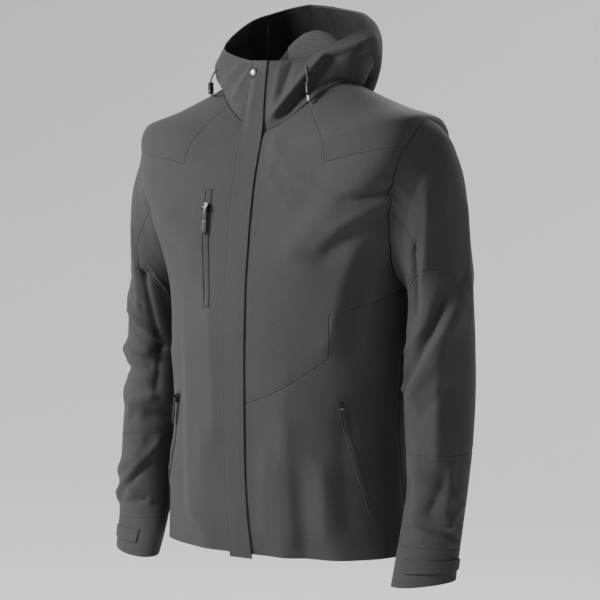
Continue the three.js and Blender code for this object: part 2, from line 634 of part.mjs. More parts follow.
// A strip of zip lying on the cloth
function stripGeometry(surface, places, wide) {
  const positions = [];
  for (const { point, out, across } of places) {
    for (const edge of [-wide / 2, wide / 2]) {
      const origin = point.clone().addScaledVector(across, edge).addScaledVector(out, wide);
      const base = hitSheet(surface, origin, out.clone().negate()).point;
      positions.push(...base.clone().addScaledVector(out, ZIP_LIFT).toArray());
      positions.push(...base.clone().addScaledVector(out, ZIP_LIFT + ZIP_TAPE).toArray());
    }
  }
  const triangles = [];
  const quad = (a, b, c, d) => triangles.push(a, b, c, a, c, d);
  for (let i = 0; i < places.length - 1; i += 1) {
    const a = i * 4;
    const b = a + 4;
    quad(a + 1, a + 3, b + 3, b + 1);
    quad(a, b, b + 2, a + 2);
    quad(a, a + 1, b + 1, b);
    quad(a + 2, b + 2, b + 3, a + 3);
  }
  const end = (places.length - 1) * 4;
  quad(0, 2, 3, 1);
  quad(end, end + 1, end + 3, end + 2);
  const geometry = new THREE.BufferGeometry();
  geometry.setAttribute('position', new THREE.Float32BufferAttribute(positions, 3));
  geometry.setIndex(triangles);
  return geometry;
}

// Zip slider: a channel, open above and below, that holds the end of the pull
function sliderGeometry() {
  const half = SLIDER.wide / 2;
  const inside = half - SLIDER.cheek;
  const top = SLIDER.deep + SLIDER.reach;
  const outline = new THREE.Shape([[-half, 0], [half, 0], [half, top], [inside, top],
    [inside, SLIDER.deep], [-inside, SLIDER.deep], [-inside, top], [-half, top]]
    .map(([x, y]) => new THREE.Vector2(x, y)));
  const geometry = new THREE.ExtrudeGeometry(outline, { depth: SLIDER.tall, bevelEnabled: false });
  return geometry.translate(0, 0, -SLIDER.tall / 2);
}

// Pull tab, hanging down from its pivot: a narrow neck and a wide round-ended grip
function pullGeometry() {
  const neck = PULL.wide / 2;
  const grip = PULL.tabWide / 2;
  const outline = new THREE.Shape();
  outline.moveTo(-neck, PULL.deep / 2);
  outline.lineTo(-neck, -PULL.neck);
  outline.lineTo(-grip, -PULL.neck - grip + neck);
  outline.lineTo(-grip, -PULL.long + grip);
  outline.absarc(0, -PULL.long + grip, grip, Math.PI, 2 * Math.PI, false);
  outline.lineTo(grip, -PULL.neck - grip + neck);
  outline.lineTo(neck, -PULL.neck);
  outline.lineTo(neck, PULL.deep / 2);
  outline.closePath();
  const geometry = new THREE.ExtrudeGeometry(outline,
    { depth: PULL.deep, bevelEnabled: false, curveSegments: 6 });
  return geometry.translate(0, 0, -PULL.deep / 2);
}

function placeBy(mesh, origin, right, up, out) {
  mesh.quaternion.setFromRotationMatrix(new THREE.Matrix4().makeBasis(right, up, out));
  mesh.position.copy(origin);
}

// One pocket zip with its slider and its hinged pull
function addPocketZip(surface, name, zip, side) {
  const places = zipPlaces(surface, zip, side);
  addMesh(`${name}_zip`, stripGeometry(surface, places, zip.wide), 'zip');
  const { point, out, across } = places[zip.closed];
  const seat = point.clone().addScaledVector(out, ZIP_LIFT + ZIP_TAPE + LAY_GAP);
  const slider = addMesh(`${name}_slider`, sliderGeometry(), 'pull');
  placeBy(slider, seat, across, out, across.clone().cross(out));
  const pivot = seat.clone().addScaledVector(out, SLIDER.deep + PULL.pivot);
  const end = places[zip.closed + PULL_STEPS];
  const hanging = end.point.clone().addScaledVector(end.out, PULL_END_LIFT).sub(pivot);
  hanging.addScaledVector(across, -hanging.dot(across)).normalize();
  const plumb = UP.clone().negate();
  plumb.addScaledVector(across, -plumb.dot(across)).normalize();
  const rest = hanging.dot(out) > plumb.dot(out) ? hanging : plumb;
  const pull = addMesh(`${name}_pull`, pullGeometry(), 'pull');
  const back = rest.clone().negate();
  placeBy(pull, pivot, across.clone().negate(), back, across.clone().negate().cross(back));
}

// Place on the outside of the hood, and the direction out of the cloth there
function onHood(surface, turn, row) {
  const round = hoodPoint(turn + 4, row).sub(hoodPoint(turn - 4, row));
  const rise = hoodPoint(turn, row + 1).sub(hoodPoint(turn, row - 1));
  const out = round.cross(rise).normalize();
  const origin = hoodPoint(turn, row).addScaledVector(out, HOOD_RAY_START);
  const hit = hitSheet(surface, origin, out.negate());
  return { point: hit.point, out: hit.face.normal.clone() };
}

function turnedGeometry(profile, sides) {
  const outline = profile.map(([radius, height]) => new THREE.Vector2(radius, height));
  return new THREE.LatheGeometry([...outline, outline[0]], sides);
}

function placeAlong(mesh, origin, direction) {
  mesh.quaternion.setFromUnitVectors(new THREE.Vector3(0, 1, 0), direction);
  mesh.position.copy(origin);
}

// Cap of the press stud at the top of the flap
function addCollarSnap(surface) {
  const { point, out } = onHood(surface, SNAP.turn, SNAP.row);
  const snap = addMesh('collar_snap', new THREE.CylinderGeometry(SNAP.radius * SNAP.crown,
    SNAP.radius, SNAP.deep, SNAP.sides), 'metal');
  const lift = LAY_GAP + FLAP_CLOTH + SNAP.lift + SNAP.deep / 2;
  placeAlong(snap, point.addScaledVector(out, lift), out);
}

// Eyelet, cord and cord lock of one side of the hood. The left cord ends in a tip, and the
// right one runs back to the neck seam.
function addDrawcord(surface, hand, place) {
  const { point, out } = onHood(surface, place.turn, place.eyeletRow);
  const eyelet = addMesh(`eyelet_${hand}`, turnedGeometry([[EYELET.bore, 0], [EYELET.radius, 0],
    [EYELET.radius - EYELET.deep / 2, EYELET.deep], [EYELET.bore, EYELET.deep]], 16), 'metal');
  placeAlong(eyelet, point.clone().addScaledVector(out, LAY_GAP), out);
  const top = hoodPoint(place.turn, place.lockRow);
  const slope = hoodPoint(place.turn, place.lockRow - 3).sub(top).normalize();
  top.addScaledVector(out, place.away);
  const fall = place.endTurn ? UP.clone().negate() : slope;
  const along = (distance) => top.clone().addScaledVector(fall, distance);
  const stops = [
    point.clone().addScaledVector(out, 2 * LAY_GAP),
    point.clone().addScaledVector(out, CORD_RISE),
    along(-CORD_DIAMETER), along(CORD_END), along(LOCK.length / 2), along(LOCK.length),
    along(LOCK.length + CORD_END),
  ];
  if (place.endTurn) {
    const seam = onHood(surface, place.endTurn, place.endRow);
    stops.push(seam.point.clone().addScaledVector(seam.out, 2 * CORD_RISE)
      .addScaledVector(UP, -CORD_RISE));
    stops.push(seam.point.addScaledVector(seam.out, CORD_DIAMETER));
  }
  const section = new THREE.Shape();
  section.absarc(0, 0, CORD_DIAMETER / 2, 0, 2 * Math.PI, false);
  const cord = new THREE.ExtrudeGeometry(section, { steps: CORD_STEPS, bevelEnabled: false,
    extrudePath: new THREE.CatmullRomCurve3(stops), curveSegments: CORD_SIDES });
  addMesh(`cord_${hand}`, cord, 'cord');
  const lock = addMesh(`cord_lock_${hand}`, turnedGeometry([[LOCK.bore, 0], [LOCK.waist, 0],
    [LOCK.radius, LOCK.length * 0.25], [LOCK.radius, LOCK.length * 0.6],
    [LOCK.waist, LOCK.length], [LOCK.bore, LOCK.length]], 14), 'pull');
  placeAlong(lock, top, fall);
  if (place.endTurn) return;
  const tip = addMesh(`cord_tip_${hand}`, new THREE.CylinderGeometry(TIP.radius,
    TIP.radius * 0.85, TIP.length, 12), 'metal');
  placeAlong(tip, along(LOCK.length + CORD_END + LAY_GAP + TIP.length / 2), fall);
}

addStormFlap();
addCuffTabs();
addHoodInside();
const sheet = sheetSurface();
addPocketZip(sheet, 'chest', CHEST_ZIP, 1);
addPocketZip(sheet, 'pocket_left', HAND_ZIP, 1);
addPocketZip(sheet, 'pocket_right', HAND_ZIP, -1);
addCollarSnap(sheet);
addDrawcord(sheet, 'left', LEFT_CORD);
addDrawcord(sheet, 'right', RIGHT_CORD);

export default jacket;
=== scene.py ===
# %% [markdown]
# # A hooded softshell jacket, filled out as if worn
# The CAD model gives every panel, zip and fitting its place. This script dresses it: each
# panel becomes a sheet of cloth on the same surface, with folds, seams and stitches, and
# each fitting gets its fine form and its finish. Lengths in the tables are millimetres.
# %% Load the frame
import json
import math

import bmesh
import bpy
import numpy as np
from mathutils import Matrix, Vector, kdtree, noise
from mathutils.bvhtree import BVHTree
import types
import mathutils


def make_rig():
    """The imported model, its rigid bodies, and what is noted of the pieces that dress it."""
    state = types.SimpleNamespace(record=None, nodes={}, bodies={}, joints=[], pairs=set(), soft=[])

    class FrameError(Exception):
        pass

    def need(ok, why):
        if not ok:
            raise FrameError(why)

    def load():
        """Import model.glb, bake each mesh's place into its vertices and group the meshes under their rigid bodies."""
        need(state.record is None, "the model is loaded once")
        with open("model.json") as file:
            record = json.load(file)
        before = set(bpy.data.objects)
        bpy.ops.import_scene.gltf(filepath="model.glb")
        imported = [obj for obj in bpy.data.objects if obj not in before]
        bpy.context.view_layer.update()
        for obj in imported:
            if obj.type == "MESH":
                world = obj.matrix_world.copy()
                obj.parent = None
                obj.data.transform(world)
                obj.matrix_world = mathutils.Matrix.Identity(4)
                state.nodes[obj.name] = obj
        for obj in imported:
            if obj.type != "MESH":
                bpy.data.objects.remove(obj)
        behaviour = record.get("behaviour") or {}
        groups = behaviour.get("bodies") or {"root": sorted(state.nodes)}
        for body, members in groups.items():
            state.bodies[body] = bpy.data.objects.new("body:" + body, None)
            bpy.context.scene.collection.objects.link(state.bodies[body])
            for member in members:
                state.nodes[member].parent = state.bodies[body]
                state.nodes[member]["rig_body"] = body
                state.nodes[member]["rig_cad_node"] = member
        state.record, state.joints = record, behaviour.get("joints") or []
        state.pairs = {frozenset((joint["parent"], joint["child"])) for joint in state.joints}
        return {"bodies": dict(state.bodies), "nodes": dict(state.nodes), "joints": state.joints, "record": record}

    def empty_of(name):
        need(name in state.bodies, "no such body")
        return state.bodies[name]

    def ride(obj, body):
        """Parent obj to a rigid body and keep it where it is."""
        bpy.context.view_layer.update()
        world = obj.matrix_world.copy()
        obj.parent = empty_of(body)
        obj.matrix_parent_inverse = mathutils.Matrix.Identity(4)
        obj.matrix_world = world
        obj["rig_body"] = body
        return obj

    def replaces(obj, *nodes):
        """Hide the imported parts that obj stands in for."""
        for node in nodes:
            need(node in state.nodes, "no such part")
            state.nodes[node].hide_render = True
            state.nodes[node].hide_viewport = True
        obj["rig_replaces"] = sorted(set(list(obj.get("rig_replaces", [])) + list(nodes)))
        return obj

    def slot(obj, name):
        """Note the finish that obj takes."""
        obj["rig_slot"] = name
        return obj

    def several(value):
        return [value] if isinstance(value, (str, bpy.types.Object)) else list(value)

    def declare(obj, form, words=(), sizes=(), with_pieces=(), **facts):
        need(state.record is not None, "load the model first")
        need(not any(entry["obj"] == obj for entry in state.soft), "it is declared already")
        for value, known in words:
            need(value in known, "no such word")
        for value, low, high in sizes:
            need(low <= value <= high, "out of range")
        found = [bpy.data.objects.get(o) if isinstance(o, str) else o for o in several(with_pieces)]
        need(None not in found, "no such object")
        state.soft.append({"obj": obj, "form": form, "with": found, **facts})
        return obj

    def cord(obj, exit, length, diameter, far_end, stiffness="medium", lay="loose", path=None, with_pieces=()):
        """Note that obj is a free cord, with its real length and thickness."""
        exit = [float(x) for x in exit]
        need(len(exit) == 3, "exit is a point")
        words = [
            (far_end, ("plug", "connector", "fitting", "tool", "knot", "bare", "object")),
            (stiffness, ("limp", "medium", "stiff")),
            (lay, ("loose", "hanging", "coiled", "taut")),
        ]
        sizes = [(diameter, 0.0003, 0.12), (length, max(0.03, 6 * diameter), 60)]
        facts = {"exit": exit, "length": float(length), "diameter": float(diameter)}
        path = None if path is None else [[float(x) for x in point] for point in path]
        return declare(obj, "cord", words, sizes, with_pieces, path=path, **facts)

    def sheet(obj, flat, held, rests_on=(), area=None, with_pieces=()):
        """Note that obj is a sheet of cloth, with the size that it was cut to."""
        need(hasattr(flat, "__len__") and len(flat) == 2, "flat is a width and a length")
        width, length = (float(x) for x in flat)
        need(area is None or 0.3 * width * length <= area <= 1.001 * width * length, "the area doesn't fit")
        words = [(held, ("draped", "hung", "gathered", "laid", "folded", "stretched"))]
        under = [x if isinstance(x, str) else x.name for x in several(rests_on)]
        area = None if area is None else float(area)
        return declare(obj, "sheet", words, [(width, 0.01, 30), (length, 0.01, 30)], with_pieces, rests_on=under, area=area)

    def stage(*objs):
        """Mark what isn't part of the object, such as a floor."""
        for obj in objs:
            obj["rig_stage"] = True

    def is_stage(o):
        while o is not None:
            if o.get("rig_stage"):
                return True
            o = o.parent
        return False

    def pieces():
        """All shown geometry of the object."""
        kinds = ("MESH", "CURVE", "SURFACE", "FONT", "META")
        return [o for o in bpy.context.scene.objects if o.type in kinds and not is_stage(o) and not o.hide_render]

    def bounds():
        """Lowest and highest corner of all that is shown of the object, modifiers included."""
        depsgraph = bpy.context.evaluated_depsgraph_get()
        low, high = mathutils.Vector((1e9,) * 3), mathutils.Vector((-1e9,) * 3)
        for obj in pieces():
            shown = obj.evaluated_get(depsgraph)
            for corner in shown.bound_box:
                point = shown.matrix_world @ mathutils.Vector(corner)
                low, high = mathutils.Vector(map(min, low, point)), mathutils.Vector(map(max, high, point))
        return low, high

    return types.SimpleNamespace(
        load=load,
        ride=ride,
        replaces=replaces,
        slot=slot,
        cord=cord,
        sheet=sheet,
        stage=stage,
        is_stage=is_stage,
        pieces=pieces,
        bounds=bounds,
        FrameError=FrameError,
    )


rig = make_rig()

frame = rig.load()
cad_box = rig.bounds()
MM = 0.001
JACKET = "jacket"
scene = bpy.context.scene
print("nodes", len(frame["nodes"]), "bodies", sorted(frame["bodies"]))

# %% [markdown]
# ## Camera
# The photograph was taken from the wearer's left front, a little below chest height and
# far away, so the lens is long and the perspective mild.
# %% Camera
CAMERA_AZIMUTH = math.radians(30)
CAMERA_DISTANCE = 2.6
CAMERA_HEIGHT = -0.185
CAMERA_PITCH = math.radians(3.1)
AIM_ASIDE = 0.0105
SENSOR_WIDTH = 36
FOCAL_LENGTH = 104


def add_camera():
    data = bpy.data.cameras.new("camera")
    data.sensor_width = SENSOR_WIDTH
    data.lens = FOCAL_LENGTH
    camera = bpy.data.objects.new("camera", data)
    scene.collection.objects.link(camera)
    across = Vector((math.cos(CAMERA_AZIMUTH), math.sin(CAMERA_AZIMUTH), 0))
    camera.location = Vector((math.sin(CAMERA_AZIMUTH), -math.cos(CAMERA_AZIMUTH), 0))
    camera.location *= CAMERA_DISTANCE
    camera.location.z = CAMERA_HEIGHT
    aim = across * AIM_ASIDE
    aim.z = CAMERA_HEIGHT - CAMERA_DISTANCE * math.tan(CAMERA_PITCH)
    camera.rotation_euler = (aim - camera.location).to_track_quat("-Z", "Y").to_euler()
    scene.camera = camera
    return camera


camera = add_camera()
print("camera at", tuple(round(value, 3) for value in camera.location))

# %% Helpers for materials
# a wave texture of this scale repeats after one unit
WAVES_PER_METRE = 0.314


def new_material(name, colour, roughness, metallic=0.0):
    material = bpy.data.materials.new(name)
    material.use_nodes = True
    shader = material.node_tree.nodes["Principled BSDF"]
    shader.inputs["Base Color"].default_value = (*colour, 1)
    shader.inputs["Roughness"].default_value = roughness
    shader.inputs["Metallic"].default_value = metallic
    return material, shader


def add_node(owner, kind, links=(), **values):
    """A node with its inputs set by name and linked from other nodes' outputs."""
    node = owner.node_tree.nodes.new(kind)
    for name, value in values.items():
        if hasattr(node, name):
            setattr(node, name, value)
        else:
            node.inputs[name.replace("_", " ")].default_value = value
    for name, source in links:
        owner.node_tree.links.new(source, node.inputs[name])
    return node


def colour_ramp(material, source, low, high, dark, light):
    ramp = add_node(material, "ShaderNodeValToRGB", [("Fac", source)])
    ramp.color_ramp.elements[0].position = low
    ramp.color_ramp.elements[1].position = high
    ramp.color_ramp.elements[0].color = (*dark, 1)
    ramp.color_ramp.elements[1].color = (*light, 1)
    return ramp.outputs["Color"]


def tint_by(material, shader, source, low, high, dark, light):
    tint = colour_ramp(material, source, low, high, dark, light)
    material.node_tree.links.new(tint, shader.inputs["Base Color"])


def bump_from(material, shader, height, distance, before=None):
    links = [("Height", height)] + ([("Normal", before)] if before else [])
    bump = add_node(material, "ShaderNodeBump", links, Distance=distance, Strength=1.0)
    material.node_tree.links.new(bump.outputs["Normal"], shader.inputs["Normal"])
    return bump.outputs["Normal"]


def crossed_waves(material, sources, directions, pitch, operation, **values):
    """Two bands of waves, a pitch in metres apart, joined by a math operation."""
    both = add_node(material, "ShaderNodeMath", operation=operation)
    for index, (source, direction) in enumerate(zip(sources, directions)):
        wave = add_node(material, "ShaderNodeTexWave", [("Vector", source)],
                        bands_direction=direction, Scale=WAVES_PER_METRE / pitch, **values)
        material.node_tree.links.new(wave.outputs["Fac"], both.inputs[index])
    return both.outputs[0]


print("material helpers ready")

# %% [markdown]
# ## Finishes of the small parts
# Moulded plastic and cast metal are each a shader with a fine grain in the bump and a little
# wear in the gloss, and braided cord has its strands in the bump, so no surface is a single flat value.
# %% Plastic, rubber and metal
PLASTIC_SPECULAR = 0.25
WEAR_SIZE, WORN_SHADE = 12, 0.75
GLOSS_MORE, GLOSS_LESS = 0.1, 0.12


def grained_material(name, colour, roughness, metallic, grain, relief):
    material, shader = new_material(name, colour, roughness, metallic)
    where = add_node(material, "ShaderNodeTexCoord")
    place = [("Vector", where.outputs["Object"])]
    if not metallic:
        shader.inputs["Specular IOR Level"].default_value = PLASTIC_SPECULAR
    fine = add_node(material, "ShaderNodeTexNoise", place, Scale=grain, Detail=3.0)
    worn = add_node(material, "ShaderNodeTexNoise", place, Scale=grain / WEAR_SIZE, Detail=2.0)
    gloss = add_node(material, "ShaderNodeMapRange", [("Value", worn.outputs["Fac"])],
                     From_Min=0.3, From_Max=0.7, To_Min=roughness - GLOSS_MORE,
                     To_Max=min(roughness + GLOSS_LESS, 1))
    material.node_tree.links.new(gloss.outputs["Result"], shader.inputs["Roughness"])
    dark = [value * WORN_SHADE for value in colour]
    tint_by(material, shader, worn.outputs["Fac"], 0.25, 0.75, dark, colour)
    bump_from(material, shader, fine.outputs["Fac"], relief)
    return material


plastic = grained_material("black_plastic", (0.006, 0.006, 0.0065), 0.35, 0, 2500, 0.00003)
rubber = grained_material("soft_rubber", (0.007, 0.007, 0.0075), 0.5, 0, 1800, 0.00005)
metal = grained_material("cast_metal", (0.3, 0.3, 0.31), 0.32, 1, 2200, 0.00002)
gunmetal = grained_material("dark_metal", (0.04, 0.04, 0.043), 0.35, 1, 2200, 0.00002)
print("hardware finishes", plastic.name, rubber.name, metal.name, gunmetal.name)


# %% Braid
BRAID_SLANT = math.radians(40)
# how dark the painted shade in the grooves of the braid is
BRAID_GROOVE_SHADE, BRAID_RELIEF = 0.4, 0.00025


def braid_material(name, colour, pitch):
    """Diagonal strands that cross, on the UV map of a tube: round and along in metres."""
    material, shader = new_material(name, colour, 0.75)
    where = add_node(material, "ShaderNodeTexCoord")
    slants = []
    for slope in (BRAID_SLANT, -BRAID_SLANT):
        slant = add_node(material, "ShaderNodeMapping", [("Vector", where.outputs["UV"])])
        slant.inputs["Rotation"].default_value = (0, 0, slope)
        slants.append(slant.outputs["Vector"])
    over = crossed_waves(material, slants, "XX", pitch, "MAXIMUM")
    # the tint darkens the cord where the strands dip, in the grooves between them, just as the bump sinks: painted
    # shade
    tint_by(material, shader, over, 0.2, 0.9, [value * BRAID_GROOVE_SHADE for value in colour], colour)
    bump_from(material, shader, over, BRAID_RELIEF)
    return material


braid = braid_material("braided_cord", (0.03, 0.03, 0.032), 0.0012)
thread = grained_material("sewing_thread", (0.045, 0.045, 0.047), 0.6, 0, 3000, 0.00004)
print("braid", braid.name, "thread", thread.name)


# %% Helper: a piece as an object
def mesh_object(name, bm, materials):
    mesh = bpy.data.meshes.new(name)
    bm.to_mesh(mesh)
    bm.free()
    made = bpy.data.objects.new(name, mesh)
    scene.collection.objects.link(made)
    for material in materials:
        mesh.materials.append(material)
    return made


def finish_piece(name, bm, materials, slot, body=JACKET, nodes=None):
    """A mesh object at the origin, riding on its body and standing for its nodes."""
    piece = mesh_object(name, bm, materials)
    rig.ride(piece, body)
    if nodes:
        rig.replaces(piece, *nodes)
    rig.slot(piece, slot)
    return piece


def soften(bm, sharp_angle=38):
    """Smooth faces, with the edges sharper than the angle kept crisp."""
    for face in bm.faces:
        face.smooth = True
    for edge in bm.edges:
        folded = len(edge.link_faces) == 2
        edge.smooth = folded and edge.calc_face_angle(0) < math.radians(sharp_angle)


def lay_grid(bm, wide, tall, place_of):
    """A grid whose vertices go where place_of says, with their lengths in metres as UV.

    Gives back the column and row of each vertex, and the faces.
    """
    uv_layer = bm.loops.layers.uv.verify()
    made = bmesh.ops.create_grid(bm, x_segments=wide, y_segments=tall, size=1)["verts"]
    cells = {vert: (round((vert.co.x + 1) / 2 * wide), round((vert.co.y + 1) / 2 * tall))
             for vert in made}
    laid = {vert: place_of(column, row) for vert, (column, row) in cells.items()}
    faces = list({face for vert in made for face in vert.link_faces})
    for face in faces:
        for loop in face.loops:
            loop[uv_layer].uv = laid[loop.vert][1]
    for vert, (point, _) in laid.items():
        vert.co = point
    return cells, faces


def turned_piece(name, profile, origin, direction, material, slot, closed=True, sides=28,
                 nodes=None):
    """A profile of radius and height spun round its axis, then set along a direction."""
    bm = bmesh.new()
    verts = [bm.verts.new((radius * MM, 0, height * MM)) for radius, height in profile]
    pairs = list(zip(verts, verts[1:] + (verts[:1] if closed else [])))
    edges = [bm.edges.new(pair) for pair in pairs if pair[0] is not pair[1]]
    bmesh.ops.spin(bm, geom=verts + edges, cent=(0, 0, 0), axis=(0, 0, 1),
                   angle=2 * math.pi, steps=sides, use_merge=True)
    bmesh.ops.remove_doubles(bm, verts=bm.verts, dist=0.000001)
    bmesh.ops.recalc_face_normals(bm, faces=bm.faces)
    turn = Vector((0, 0, 1)).rotation_difference(Vector(direction)).to_matrix().to_4x4()
    place = Matrix.Translation(Vector(origin) * MM)
    bmesh.ops.transform(bm, matrix=place @ turn, verts=bm.verts)
    soften(bm)
    return finish_piece(name, bm, [material], slot, nodes=nodes)


print("helpers for pieces ready")

# %% [markdown]
# ## Drawcords of the hood
# A round braided cord comes out of an eyelet on each side of the face opening and runs
# through a barrel lock. The left one ends in a metal tip, the right one goes back into the
# neck seam. Each is a tube along the same smooth curve as in the CAD model.
# %% The cords' routes
CORD = 2.6
CORD_ROUND = 12
SPAN_STEPS = 7
LEFT_ROUTE = [
    (59.53, -63.94, 13.62), (60.42, -67.17, 15.62), (68.38, -76.55, -5.36),
    (68.88, -77.00, -9.40), (69.73, -77.77, -16.30), (70.77, -78.71, -24.69),
    (70.95, -78.87, -26.17),
]
RIGHT_ROUTE = [
    (-104.53, -42.44, 18.17), (-107.45, -45.03, 17.98), (-112.62, -50.99, 2.68),
    (-112.62, -50.99, -1.42), (-112.62, -50.99, -8.42), (-112.62, -50.99, -16.92),
    (-112.62, -50.99, -18.42), (-90.49, -65.45, -16.56), (-86.23, -60.69, -12.41),
]


def smooth_route(stops):
    """Points of a centripetal curve through the stops."""
    stops = [Vector(stop) for stop in stops]
    stops = [2 * stops[0] - stops[1], *stops, 2 * stops[-1] - stops[-2]]
    route = []
    for a, b, c, d in zip(stops, stops[1:], stops[2:], stops[3:]):
        first, span, last = ((q - p).length ** 0.5 for p, q in ((a, b), (b, c), (c, d)))
        start = ((b - a) / first - (c - a) / (first + span) + (c - b) / span) * span
        end = ((c - b) / span - (d - b) / (span + last) + (d - c) / last) * span
        for step in range(SPAN_STEPS):
            t = step / SPAN_STEPS
            bend = -3 * b + 3 * c - 2 * start - end
            route.append(b + start * t + bend * t * t + (2 * b - 2 * c + start + end) * t ** 3)
    return [point * MM for point in route + [stops[-2]]]


left_route, right_route = smooth_route(LEFT_ROUTE), smooth_route(RIGHT_ROUTE)
print("route points", len(left_route), len(right_route))


# %% Helper: a tube along a route
def tube_mesh(bm, route, radius, around):
    """A grid rolled into a tube along the route, with lengths as its UV map."""
    rings = len(route) - 1
    steps = [(b - a).length for a, b in zip(route, route[1:])]
    along = [sum(steps[:index]) for index in range(len(route))]
    frames = []
    side = Vector((1, 0, 0))
    for index in range(len(route)):
        ahead = (route[min(index + 1, rings)] - route[max(index - 1, 0)]).normalized()
        side = (side - ahead * side.dot(ahead)).normalized()
        frames.append((side.copy(), ahead.cross(side)))

    def place_of(column, ring):
        turn = -2 * math.pi * column / around
        across, up = frames[ring]
        point = route[ring] + (across * math.cos(turn) + up * math.sin(turn)) * radius
        return point, (2 * math.pi * radius * column / around, along[ring])

    cells, _ = lay_grid(bm, around, rings, place_of)
    bmesh.ops.remove_doubles(bm, verts=list(cells), dist=radius * 0.01)
    return sum(steps)


def add_cord(hand, route, far_end, with_pieces):
    bm = bmesh.new()
    length = tube_mesh(bm, route, CORD * MM / 2, CORD_ROUND)
    bmesh.ops.holes_fill(bm, edges=[edge for edge in bm.edges if edge.is_boundary])
    bmesh.ops.recalc_face_normals(bm, faces=bm.faces)
    soften(bm, 60)
    piece = finish_piece(f"cord_{hand}_braid", bm, [braid], "cord", nodes=[f"cord_{hand}"])
    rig.cord(piece, exit=route[0], length=length, diameter=CORD * MM, far_end=far_end,
            stiffness="limp", lay="hanging", path=route, with_pieces=with_pieces)
    return length


print("tube helper ready")

# %% Eyelets, locks and the tip
# a barrel with two collars, a waist with grip rings and a bore
LOCK_PROFILE = [
    (1.8, 0), (3.4, 0), (4.1, 0.5), (4.4, 1.4), (4.4, 3.0), (4.0, 3.6), (4.0, 5.4),
    (4.5, 5.8), (4.5, 6.6), (4.1, 7.0), (4.1, 7.8), (4.5, 8.2), (4.5, 9.0), (4.1, 9.4),
    (4.1, 10.2), (4.5, 10.6), (4.5, 11.4), (4.0, 11.8), (4.0, 13.6), (4.4, 14.2),
    (4.4, 15.6), (4.1, 16.5), (3.4, 17), (1.8, 17),
]
EYELET_PROFILE = [
    (1.7, 0), (4.2, 0), (4.3, 0.3), (4.0, 0.8), (3.3, 1.2), (2.5, 1.2), (1.9, 0.8), (1.7, 0.4),
]
TIP_PROFILE = [
    (0, 0), (2.2, 0), (2.6, 0.4), (2.6, 1.6), (2.3, 1.9), (2.3, 2.5), (2.6, 2.8), (2.5, 7.2),
    (2.2, 8.4), (1.4, 9.0), (0, 9.0),
]
LEFT_FALL, RIGHT_FALL = (0.1218, -0.1099, -0.9865), (0, 0, -1)
TIP_MIDDLE, TIP_HALF = Vector((71.53, -79.40, -30.90)), 4.5
turned_piece("eyelet_left_ring", EYELET_PROFILE, (59.47, -63.69, 13.47),
             (0.2268, -0.8284, 0.5121), gunmetal, "metal", nodes=["eyelet_left"])
turned_piece("eyelet_right_ring", EYELET_PROFILE, (-104.31, -42.25, 18.18),
             (-0.7476, -0.6624, -0.0486), gunmetal, "metal", nodes=["eyelet_right"])
lock_left = turned_piece("cord_lock_left_barrel", LOCK_PROFILE, (68.70, -76.84, -7.92),
                         LEFT_FALL, plastic, "black_plastic", nodes=["cord_lock_left"])
lock_right = turned_piece("cord_lock_right_barrel", LOCK_PROFILE, (-112.62, -50.99, 0.08),
                          RIGHT_FALL, plastic, "black_plastic", nodes=["cord_lock_right"])
tip_start = TIP_MIDDLE - Vector(LEFT_FALL) * TIP_HALF
tip_left = turned_piece("cord_tip_left_cap", TIP_PROFILE, tip_start, LEFT_FALL, metal, "metal",
                        closed=False, nodes=["cord_tip_left"])
print("cord left", round(add_cord("left", left_route, "fitting", [lock_left, tip_left]), 4))
print("cord right", round(add_cord("right", right_route, "object", [lock_right]), 4))

# %% [markdown]
# ## The shape of the shell
# A tailor would draft flat pieces and sew them. Here the sewn shape is worked out at once:
# rings round the body, sections down the arm and the path of the hood from the neck seam
# to its rim, with a smooth curve through the rows of each table. The first column of a
# table is its key.
# %% Tables of the body
HEM = -690
SLANT_CENTRE, SLANT_CORNER, SLANT_BEND = -470, -401, 1.8
CHEST_LEVEL, UNDERARM = -340, -300
YOKE_SEAM, SHOULDER_TIP, NECK_SEAM = -95, -58, -3
YOKE_POINT_TURN, YOKE_EASE = 47, 1.25
POINT_COLUMN, FRONT_COLUMNS, BACK_COLUMNS = 7, 11, 6
ROW_SLANT, ROW_CHEST, ROW_YOKE, ROW_TIP, ROW_NECK = 8, 11, 19, 22, 27
FLAP_SEAM, FLAP_EDGE = -36, 2
ZIP_RIGHT, ZIP_LEFT = -12, -3

# level at the side, at the front, at the back, half width, front, back, middle, squareness
BODY_RINGS = np.array([
    (-690, -690, -690, 196, -121, 125, 0, 2.4),
    (-640, -640, -640, 190, -133, 128, 0, 2.4),
    (-560, -560, -560, 182, -141, 128, 0, 2.4),
    (-470, -470, -470, 178, -143, 122, 0, 2.4),
    (-385, -385, -385, 185, -143, 125, 0, 2.4),
    (-300, -300, -300, 188, -139, 130, 0, 2.6),
    (-240, -252, -245, 198, -133, 131, 0, 3.2),
    (-190, -215, -200, 211, -128, 130, 0, 4.0),
    (-110, -165, -130, 227, -118, 122, -4, 4.5),
    (-58, -135, -85, 225, -110, 105, -5, 4.0),
    (-38, -110, -50, 175, -102, 88, -7, 3.0),
    (-18, -90, -15, 130, -95, 72, -9, 2.6),
    (-3, -75, 10, 98, -88, 58, -10, 2.4),
], float)
# level, degrees round ahead of the arm, degrees round behind it
ARMHOLE = np.array([
    (-300, 90, 90), (-292, 84, 97), (-282, 79, 102), (-240, 72, 107), (-195, 68.5, 109),
    (-155, 68.2, 109.5), (-110, 70.4, 108), (-81, 76.4, 102), (-66, 83, 95.5),
    (-58, 90, 90),
], float)
print("body rings", len(BODY_RINGS))

